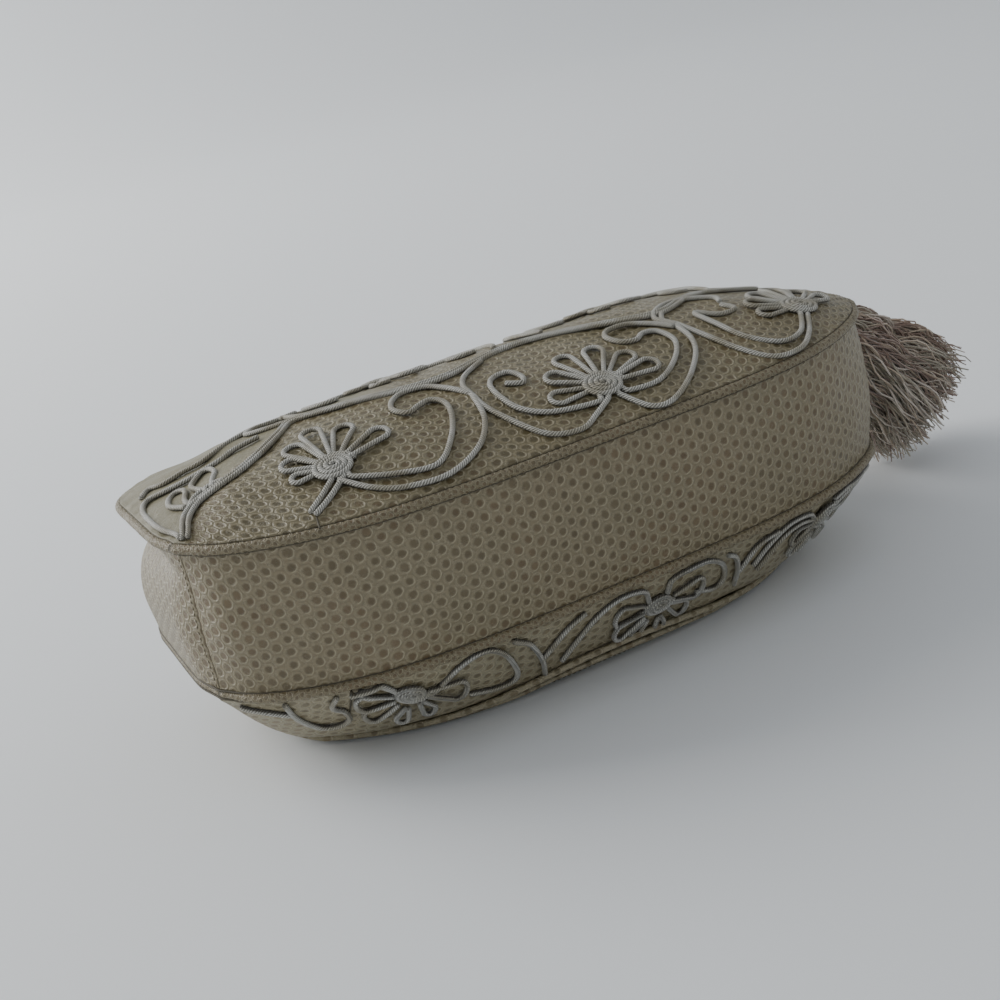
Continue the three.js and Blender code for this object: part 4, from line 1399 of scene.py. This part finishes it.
SEAM_FLOWERS = (
    Flower("seam_flower_left", "back_flower_1", Face.BACK, (-82, -42),
           ((-96, -38), (-95, -28), (-89, -18), (-79, -13), (-68, -20), (-59, -34)),
           (((-79, -51), (-67, -58), (-54, -61), (-44, -52), (-37, -40), (-35, -31), (-38, -26), (-43, -27),
             (-48, -29), (-51, -23), (-48, -16), (-42, -12), (-34, -14), (-29, -22), (-25, -31)),
            ((-84, -49), (-77, -59), (-68, -65), (-53, -67), (-38, -60), (-29, -48), (-25, -33)),
            ((-84, -46), (-91, -52), (-98, -57)), ((-81, -48), (-90, -55), (-97, -59)))),
    Flower("seam_flower_middle", "back_flower_2", Face.BACK, (15, -53),
           ((-5, -51), (1, -38), (12, -28), (25, -30), (34, -40), (38, -51)),
           (((-12, -33), (-7, -36), (-5, -32), (-7, -26), (-13, -26), (-17, -31), (-18, -40), (-16, -50),
             (-8, -57), (8, -60)),
            ((-25, -32), (-25, -44), (-20, -59), (-14, -67), (-4, -69), (4, -65), (12, -60)),
            ((21, -60), (33, -60), (45, -52), (52, -42), (51, -33), (46, -31), (41, -34), (36, -32),
             (34, -25), (38, -20), (46, -20), (53, -26), (58, -33)),
            ((17, -61), (22, -70), (30, -71), (42, -64), (53, -53), (58, -43), (59, -33)))),
    Flower("seam_flower_right", "back_flower_3", Face.BACK, (109, -39),
           ((91, -39), (92, -29), (100, -20), (111, -15), (121, -21), (125, -33)),
           (((84, -25), (86, -31), (78, -33), (71, -27), (72, -39), (75, -52), (84, -60), (95, -57),
             (104, -46)),
            ((60, -32), (63, -44), (68, -58), (76, -67), (88, -66), (98, -58), (107, -46)),
            ((60, -32), (57, -22), (66, -12), (78, -10), (87, -16), (86, -22)))),
)
MOUTH_FLOWERS = tuple(
    Flower(f"mouth_flower_{name}", node, Face.BACK, (x, 40),
           tuple((x + across, 40 - up) for across, up in
                 ((-20, 1), (-15, 14), (-5, 22), (8, 22), (17, 14), (21, 1))),
           tuple(tuple((x + across, 40 - up) for across, up in route) for route in (
               ((4, -6), (16, -7), (29, -2), (37, 9), (35, 20), (28, 23), (25, 17), (30, 12)),
               ((1, -7), (14, -13), (30, -10), (42, 3), (42, 22), (38, 32)),
               ((-5, -6), (-18, -6), (-28, 0), (-33, 10), (-30, 20), (-24, 22), (-22, 16)),
               ((-2, -7), (-15, -13), (-29, -10), (-40, 3), (-42, 20), (-38, 32)))))
    for name, node, x in (("left", "back_mouth_flower_1", -33.5), ("right", "back_mouth_flower_2", 63.5)))
FRONT_FLOWERS = (
    Flower("front_flower_left", "front_flower_1", Face.FRONT, (-82, -62),
           ((-99, -63), (-100, -57), (-96, -50), (-84, -49), (-73, -52), (-62, -60)),
           (((-74, -61), (-66, -68), (-57, -71), (-49, -68), (-43, -61), (-43, -57), (-50, -56), (-60, -57)),
            ((-46, -71), (-39, -68), (-33, -61), (-30, -54)),
            ((-33, -61), (-25, -68), (-18, -71)),
            ((-90, -64), (-96, -66), (-103, -64))), 6.0, 0.5),
    Flower("front_flower_middle", "front_flower_2", Face.FRONT, (14, -64),
           ((-4, -64), (-3, -58), (6, -53), (18, -53), (28, -57), (33, -64)),
           (((-24, -57), (-20, -62), (-13, -68), (-4, -71), (6, -70)),
            ((18, -70), (25, -71), (33, -71), (40, -68), (43, -63), (40, -60), (31, -62)),
            ((42, -70), (46, -68), (49, -63), (50, -57)),
            ((50, -62), (56, -68), (65, -69))), 6.0, 0.5),
    Flower("front_flower_right", "front_flower_3", Face.FRONT, (90, -61),
           ((75, -61), (76, -55), (84, -50), (94, -49), (102, -52), (106, -57)),
           (((57, -61), (62, -66), (70, -69), (80, -67)),
            ((60, -58), (68, -65), (76, -66), (84, -63)),
            ((96, -61), (106, -57), (114, -51), (120, -44), (117, -40), (112, -43)),
            ((95, -63), (108, -60), (119, -52), (127, -42))), 6.0, 0.5),
)
CENTRE_CORDS = (
    ((-137, -35), (-133.5, -28), (-129, -20.5), (-124, -16), (-115, -14), (-105, -11.5), (-96, -5.5),
     (-86, 4),
     (-77, 12), (-62, 3), (-47, -5), (-34, -9),
     (-23, -9), (-8, -3), (5, 1), (18, 0), (33, -7), (46, -13), (60, -17), (72, -12), (85, -2), (100, 4),
     (118, 2)),
    ((-135, -36), (-131, -28.5), (-127, -22.5), (-122, -18), (-114, -16.3), (-104, -13.8), (-94.5, -7.5),
     (-85, 1.5), (-77, 9.6), (-62, 0.6), (-47, -7.4),
     (-34, -11.4), (-23, -11.4), (-8, -5.4), (5, -1.4), (18, -2.4), (33, -9.4), (46, -15.4), (60, -19.4),
     (72, -14.4), (85, -4.4), (100, 1.6), (118, -0.4)),
    ((-25, -32), (-24, -24), (-19, -16), (-8, -7)),
    ((60, -32), (58, -26), (62, -19)),
    ((-77, 12), (-86, 19), (-91, 27), (-84, 36), (-74, 38), (-70, 30), (-77, 25)),
    ((-84, 36), (-97, 29), (-110, 23), (-117, 25), (-125, 26), (-130, 31), (-134, 27)),
    ((-137.5, -34), (-137.8, -23), (-137.8, -8), (-137.5, 6), (-136, 15), (-133, 19), (-127, 16), (-119, 12),
     (-112, 11), (-106, 11), (-99, 14), (-90, 13)),
    ((-127, -15), (-130, -5), (-129, 2), (-126, 6), (-123, 4), (-123, -1), (-125, -7), (-126, -15)),
    ((-118, -13), (-120, -4), (-120, 2), (-117, 7), (-114, 10), (-111, 8), (-111, 1), (-114, -6),
     (-116, -13)),
    ((-126, -17), (-123, -12), (-117, -10), (-112, -12), (-116, -16), (-122, -17)),
)
FRONT_HOOKS = (
    ((-106, -59), (-107, -54), (-103, -53), (-101, -49), (-104, -44), (-110, -41), (-117, -44), (-121, -50)),
    ((-134, -37), (-126, -42), (-119, -45)),
)


@dataclass
class CordWork:
    """Cord sewn down in scrolls and flowers: round tubes laid along listed routes."""

    radius: float = 1.0 * MM
    lift: float = 0.85 * MM
    step: float = 0.9 * MM
    sides: int = 9
    petal_half: float = 3.5
    petal_root: float = 6.0
    tie_reach: float = 15.0
    coil_pitch: float = 2.1
    coil_rise: float = 0.9 * MM

    def laid(self, route: Grid, face: Face, rise: Grid | float = 0.0) -> Grid:
        """A route in millimetres carried onto a face.

        Args:
            route: places on the plan.
            face: the face.
            rise: extra height over the face.

        Returns:
            Points of the path.
        """
        path = smooth_path(np.asarray(route, float) * MM, self.step)
        if np.ndim(rise):
            rise = np.interp(np.linspace(0, 1, len(path)), np.linspace(0, 1, len(rise)), rise)
        return FORM.over(face, path[:, 0], path[:, 1], self.lift + rise)

    def sewn(self, heap: MeshHeap, route: Grid, face: Face, radius: float, rise: Grid | float = 0.0) -> None:
        """Lay a cord and add it; a point's grey value is its height over the cord's middle in radii, which sets
        the painted shade on the cord's underside.

        Args:
            heap: where it is added.
            route: places on the plan.
            face: the face.
            radius: the cord's radius.
            rise: extra height over the face.
        """
        path = self.laid(route, face, rise)
        points, faces, uv = tube(path, radius, self.sides)
        ground = FORM.over(face, path[:, 0], path[:, 1], 0.0)
        out = path - ground
        out /= np.linalg.norm(out, axis=1, keepdims=True)
        rings = points[:len(path) * self.sides].reshape(len(path), self.sides, 3) - path[:, None]
        tone = (rings * out[:, None]).sum(-1).ravel() / radius
        heap.add((points, faces, uv), np.concatenate([tone, [0, 0]]))

    def petal(self, disc: Point, tip: Point) -> Grid:
        """A hairpin from the disc to a tip and back: straight sides that part, and a half circle."""
        out = np.array(tip) - np.array(disc)
        reach = np.linalg.norm(out)
        along = out / reach
        side = np.array([-along[1], along[0]])
        half = min(self.petal_half, reach * 0.17)
        turn = np.linspace(-np.pi / 2, np.pi / 2, 7)
        straight = np.linspace(self.petal_root, reach - half, 6)[:-1]
        walk = np.concatenate([straight, reach - half + half * np.cos(turn), straight[::-1]])
        opening = half * (0.3 + 0.7 * (straight - straight[0]) / (reach - half - straight[0]))
        width = np.concatenate([-opening, half * np.sin(turn), opening[::-1]])
        return np.array(disc) + along * walk[:, None] + side * width[:, None]

    def tied(self, route: Sequence[Point], flower: Flower) -> Grid:
        """A scroll with each end that comes near the disc carried on to the disc's rim."""
        line = np.array(route, float)
        for end, at in ((line[:1], 0), (line[-1:], len(line))):
            out = end - np.array(flower.disc)
            reach = np.linalg.norm(out)
            if flower.disc_radius < reach < self.tie_reach:
                rim = np.array(flower.disc) + out / reach * flower.disc_radius * 0.9 * [[1, flower.oval]]
                line = np.concatenate([rim, line]) if at == 0 else np.concatenate([line, rim])
        return line

    def coil(self, disc: Point, radius: float, oval: float) -> Grid:
        """A flat oval spiral whose radius shrinks evenly as it turns."""
        turns = radius / self.coil_pitch
        turn = np.linspace(0, 2 * np.pi * turns, int(turns * 18))
        reach = radius * (1 - turn / turn[-1] * 0.92)
        return np.array(disc) + reach[:, None] * np.stack([np.cos(turn), oval * np.sin(turn)], -1)

    def flower(self, flower: Flower, material: bpy.types.Material) -> bpy.types.Object:
        """Make one flower with its scrolls as a single piece.

        Args:
            flower: its routes.
            material: the cord.

        Returns:
            The piece.
        """
        heap = MeshHeap()
        for route in flower.scrolls:
            self.sewn(heap, self.tied(route, flower), flower.face, self.radius)
        for number, tip in enumerate(flower.tips):
            rise = 0.5 * MM * (number % 2)
            loop = self.petal(flower.disc, tip)
            self.sewn(heap, loop, flower.face, self.radius * 0.92, rise)
        spiral = self.coil(flower.disc, flower.disc_radius, flower.oval)
        rise = np.linspace(0.3 * MM, 0.3 * MM + self.coil_rise, 20)
        self.sewn(heap, spiral, flower.face, self.radius, rise)
        self.keep_off_floor(heap)
        return dress(heap.build(flower.name), material, "cord", flower.node)

    def keep_off_floor(self, heap: MeshHeap) -> None:
        """Raise what would lie under the floor's height to it."""
        for points in heap.points:
            points[:, 2] = np.maximum(points[:, 2], 0.3 * MM)

    def build(self, material: bpy.types.Material) -> int:
        """Make every flower, the cords between the rows and the hooks at the front's left corner.

        Args:
            material: the cord.

        Returns:
            How many pieces were made.
        """
        flowers = SEAM_FLOWERS + MOUTH_FLOWERS + FRONT_FLOWERS
        for flower in flowers:
            self.flower(flower, material)
        for name, routes, face, nodes in (("centre_cords", CENTRE_CORDS, Face.BACK, ("back_wave_cord",)),
                                          ("front_hooks", FRONT_HOOKS, Face.FRONT, ())):
            heap = MeshHeap()
            for route in routes:
                self.sewn(heap, route, face, self.radius)
            dress(heap.build(name), material, "cord", *nodes)
        return len(flowers) + 2


@dataclass
class Tassel:
    """The tassel: a hanging cord, a bound head and a skirt of crinkled yarn strands in locks."""

    head: tuple[float, float, float] = (152 * MM, 30 * MM, 83.3 * MM)
    lean: tuple[float, float, float] = (46 * MM, -15 * MM, -50.3 * MM)
    length: float = 82 * MM
    head_length: float = 17 * MM
    head_radius: float = 8 * MM
    skirt_radius: float = 27 * MM
    droop: float = 7 * MM
    strands: int = 1450
    locks: int = 58
    yarn: float = 0.52 * MM
    steps: int = 18
    lock_wave: float = 3.4 * MM
    crinkle: float = 0.9 * MM
    seeds: tuple[int, int] = (7, 19)

    def axes(self) -> tuple[Grid, Grid, Grid]:
        """The tassel's own directions: down its length and two across it."""
        down = np.array(self.lean)
        down /= np.linalg.norm(down)
        side = np.cross(down, [0, 0, 1.0])
        side /= np.linalg.norm(side)
        return down, side, np.cross(down, side)

    def skirt(self, seed: int) -> MeshHeap:
        """Strands: each leaves the neck, spreads as a square root of the way down and waves with its lock.

        Args:
            seed: seed of the random draws.

        Returns:
            The strands.
        """
        rng = np.random.default_rng(seed)
        down, side, other = self.axes()
        head = np.array(self.head)
        heap = MeshHeap()
        lock_turn = rng.uniform(0, 2 * np.pi, self.locks)
        lock_reach = np.sqrt(rng.uniform(0.08, 1, self.locks))
        lock_tone = rng.uniform(0, 1, self.locks)
        lock_phase = rng.uniform(0, 2 * np.pi, self.locks)
        lock_turns = rng.uniform(0.7, 1.7, self.locks)
        t = np.linspace(0, 1, self.steps)
        for number in range(self.strands):
            lock = number % self.locks
            turn = lock_turn[lock] + rng.normal(0, 0.16)
            reach = np.clip(lock_reach[lock] + rng.normal(0, 0.1), 0, 1)
            end = self.length * rng.uniform(0.8, 1.0) * (1 - 0.06 * reach)
            start = self.head_length * 0.9
            walk = start + (end - start) * t
            neck = 0.6 * self.head_radius * reach
            spread = neck + (self.skirt_radius * reach - neck) * t**0.72
            swirl = turn + 0.35 * np.sin(2.4 * t + lock_phase[lock])
            x, y = spread * np.cos(swirl), spread * np.sin(swirl)
            waves = lock_turns[lock] + rng.normal(0, 0.08)
            phase = lock_phase[lock] * np.array([1, 2]) + rng.normal(0, 0.35, 2)
            own = rng.uniform(0, 2 * np.pi, 2)
            grow = np.minimum(t * 3, 1)
            bend = self.lock_wave * grow
            fine = self.crinkle * grow
            x = x + bend * np.sin(waves * 2 * np.pi * t + phase[0]) + fine * np.sin(16 * t + own[0])
            y = y + bend * np.cos(waves * 2.4 * np.pi * t + phase[1]) + fine * np.sin(19 * t + own[1])
            path = head + walk[:, None] * down + x[:, None] * side + y[:, None] * other
            path[:, 2] = np.maximum(path[:, 2] - self.droop * t**2, self.yarn * 1.2)
            thin = self.yarn * rng.uniform(0.7, 1.25) * (1 - 0.45 * t**3)
            heap.add(tube(path, thin, 3), np.clip(lock_tone[lock] + rng.normal(0, 0.22), 0, 1))
        return heap

    def bound_head(self, heap: MeshHeap) -> None:
        """Turns of yarn round a barrel: a helix whose radius swells as a sine of the way down."""
        down, side, other = self.axes()
        head = np.array(self.head)
        turns = 13
        turn = np.linspace(0, 2 * np.pi * turns, turns * 16)
        part = turn / turn[-1]
        radius = self.head_radius * (0.25 + 0.72 * np.sin(np.pi * np.clip(part * 0.85 + 0.08, 0, 1)) ** 0.6)
        path = (head + (self.head_length * part)[:, None] * down
                + (radius * np.cos(turn))[:, None] * side + (radius * np.sin(turn))[:, None] * other)
        heap.add(tube(path, 0.85 * MM, 6), 0.3)

    def core(self, heap: MeshHeap) -> None:
        """A dark core that closes the head and the root of the skirt: a lathe of four radii."""
        down = self.axes()[0]
        head = np.array(self.head)
        walk = np.linspace(0, 0.5, 14)
        radius = self.head_radius * np.interp(walk, [0, 0.05, 0.15, 0.22, 0.5], [0.2, 0.85, 0.85, 0.6, 1.2])
        heap.add(tube(head + (walk * self.length)[:, None] * down, radius, 16), 0.05)

    def hanger(self, heap: MeshHeap) -> None:
        """The cord from the end gusset to the head, in a low bend."""
        head = np.array(self.head)
        end_x = FORM.end_x(head[1:2], head[2:3])[0]
        start = np.array([end_x - 0.5 * MM, head[1], head[2]])
        middle = (start + head) / 2 + np.array([0, 0, 1.4 * MM])
        path = smooth_path(np.stack([start, middle, head, head + self.axes()[0] * 5 * MM]), 0.8 * MM)
        heap.add(tube(path, 1.4 * MM, 8), 0.7)

    def build(self, material: bpy.types.Material) -> bpy.types.Object:
        """Make the tassel in two pieces of like strands.

        Args:
            material: the yarn.

        Returns:
            The piece with the head.
        """
        heap = self.skirt(self.seeds[0])
        self.bound_head(heap)
        self.core(heap)
        self.hanger(heap)
        dress(self.skirt(self.seeds[1]).build("tassel_locks"), material, "yarn")
        return dress(heap.build("tassel_yarns"), material, "yarn", "tassel")


@dataclass
class Studio:
    """The photograph's camera, a pale seamless floor and soft lights."""

    place: tuple[float, float, float] = (-229.9 * MM, -518.7 * MM, 265.3 * MM)
    yaw: float = 0.402
    pitch: float = 0.357
    roll: float = -0.217
    focal_share: float = 1.6
    sensor: float = 36.0
    floor_half: float = 4.0
    sweep_start: float = 1.6
    sweep_radius: float = 1.2
    aim: tuple[float, float, float] = (0.0, 0.98, 0.0)

    def camera(self) -> None:
        """Set the camera from its turn, tilt and roll."""
        level = math.cos(self.pitch)
        ahead = np.array([math.sin(self.yaw) * level, math.cos(self.yaw) * level, -math.sin(self.pitch)])
        right = np.array([math.cos(self.yaw), -math.sin(self.yaw), 0])
        up = np.cross(right, ahead)
        right, up = (math.cos(self.roll) * right + math.sin(self.roll) * up,
                     -math.sin(self.roll) * right + math.cos(self.roll) * up)
        data = bpy.data.cameras.new("camera")
        data.sensor_width = self.sensor
        data.lens = self.sensor * self.focal_share
        data.clip_start = 0.01
        camera = bpy.data.objects.new("camera", data)
        bpy.context.scene.collection.objects.link(camera)
        turned = Matrix([right, up, -ahead]).transposed().to_4x4()
        turned.translation = Vector(self.place)
        camera.matrix_world = turned
        bpy.context.scene.camera = camera

    def floor(self, material: bpy.types.Material) -> None:
        """A floor that sweeps up behind in a quarter circle."""
        flat = np.linspace(-self.floor_half, self.sweep_start, 12)
        turn = np.linspace(0, np.pi / 2, 24)[1:]
        y = np.concatenate([flat, self.sweep_start + self.sweep_radius * np.sin(turn),
                            [self.sweep_start + self.sweep_radius] * 2])
        z = np.concatenate([np.zeros(12), self.sweep_radius * (1 - np.cos(turn)), [2.2, 3.4]])
        x = np.linspace(-self.floor_half, self.floor_half, 16)
        grid = np.stack(np.broadcast_arrays(x[None], y[:, None], z[:, None]), -1)
        piece = mesh_object("floor", grid, grid_faces(len(y), len(x)))
        piece.data.materials.append(material)

    def lamp(self, name: str, place: Sequence[float], size: float, power: float,
             shade: Sequence[float] = (1, 1, 1)) -> None:
        """A square soft light turned to the floor behind the bag.

        Args:
            name: the light's name.
            place: where it hangs.
            size: its side.
            power: in watts.
            shade: its colour.
        """
        data = bpy.data.lights.new(name, "AREA")
        data.size = size
        data.energy = power
        data.color = shade
        lamp = bpy.data.objects.new(name, data)
        lamp.location = place
        aim = Vector(self.aim) - Vector(place)
        lamp.rotation_euler = aim.to_track_quat("-Z", "Y").to_euler()
        bpy.context.scene.collection.objects.link(lamp)

    def light(self) -> None:
        """A dim cool room with one broad light up to the left and behind."""
        world = bpy.data.worlds.new("room")
        world.use_nodes = True
        room = world.node_tree.nodes["Background"]
        room.inputs[0].default_value = (0.93, 0.96, 1.0, 1.0)
        room.inputs[1].default_value = 0.56
        bpy.context.scene.world = world
        self.lamp("key", (-1.3, 1.7, 1.1), 1.8, 60.0, (1.0, 0.985, 0.96))


def main() -> None:
    """Build the bag's sub-assemblies in order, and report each."""
    logging.basicConfig(level=logging.INFO, format="%(message)s")
    studio = Studio()
    studio.camera()
    studio.floor(PaleFloor().material())
    studio.light()
    skin = SpottedSkin().material()
    # the back's copy of the skin: a yellower tint of its own, and painted darker to offset the stronger light
    # on the upper face
    back_skin_painted_darker = SpottedSkin("back_skin_painted_darker", web=rgb(117, 105, 77), web_cool=rgb(109, 103, 77),
                            core=rgb(75, 66, 41), core_warm=rgb(89, 72, 45), plain=rgb(126, 121, 98)).material()
    # the front's copy, also used for the flap: painted lighter to offset the shade on the face the bag rests on
    front_skin_painted_lighter = SpottedSkin("front_skin_painted_lighter", web=rgb(158, 147, 122), web_cool=rgb(152, 146, 121),
                             core=rgb(106, 96, 72), core_warm=rgb(112, 96, 70)).material()
    thread = SeamThread().material()
    soft_thread = SeamThread("soft_seam_thread", rgb(92, 84, 68)).material()
    cord = WoundCord().material()
    for face, node, finish in ((Face.BACK, "back_panel", back_skin_painted_darker), (Face.FRONT, "front_panel", front_skin_painted_lighter)):
        Panel(face, node).build(finish)
        log.info("%s built", node)
    log.info("pipings built: %d pieces", Pipings().build(skin, thread))
    log.info("gussets built: %d pieces", Gussets().build(skin, soft_thread))
    log.info("flap built: %d pieces", Flap().build(front_skin_painted_lighter, thread))
    log.info("cord work built: %d pieces", CordWork().build(cord))
    Tassel().build(TasselYarn().material())
    log.info("tassel built")
    snap = bpy.data.objects["snap"]
    snap.data.materials.clear()
    snap.data.materials.append(BrushedMetal().material())
    log.info("snap dressed")


if __name__ == "__main__":
    main()
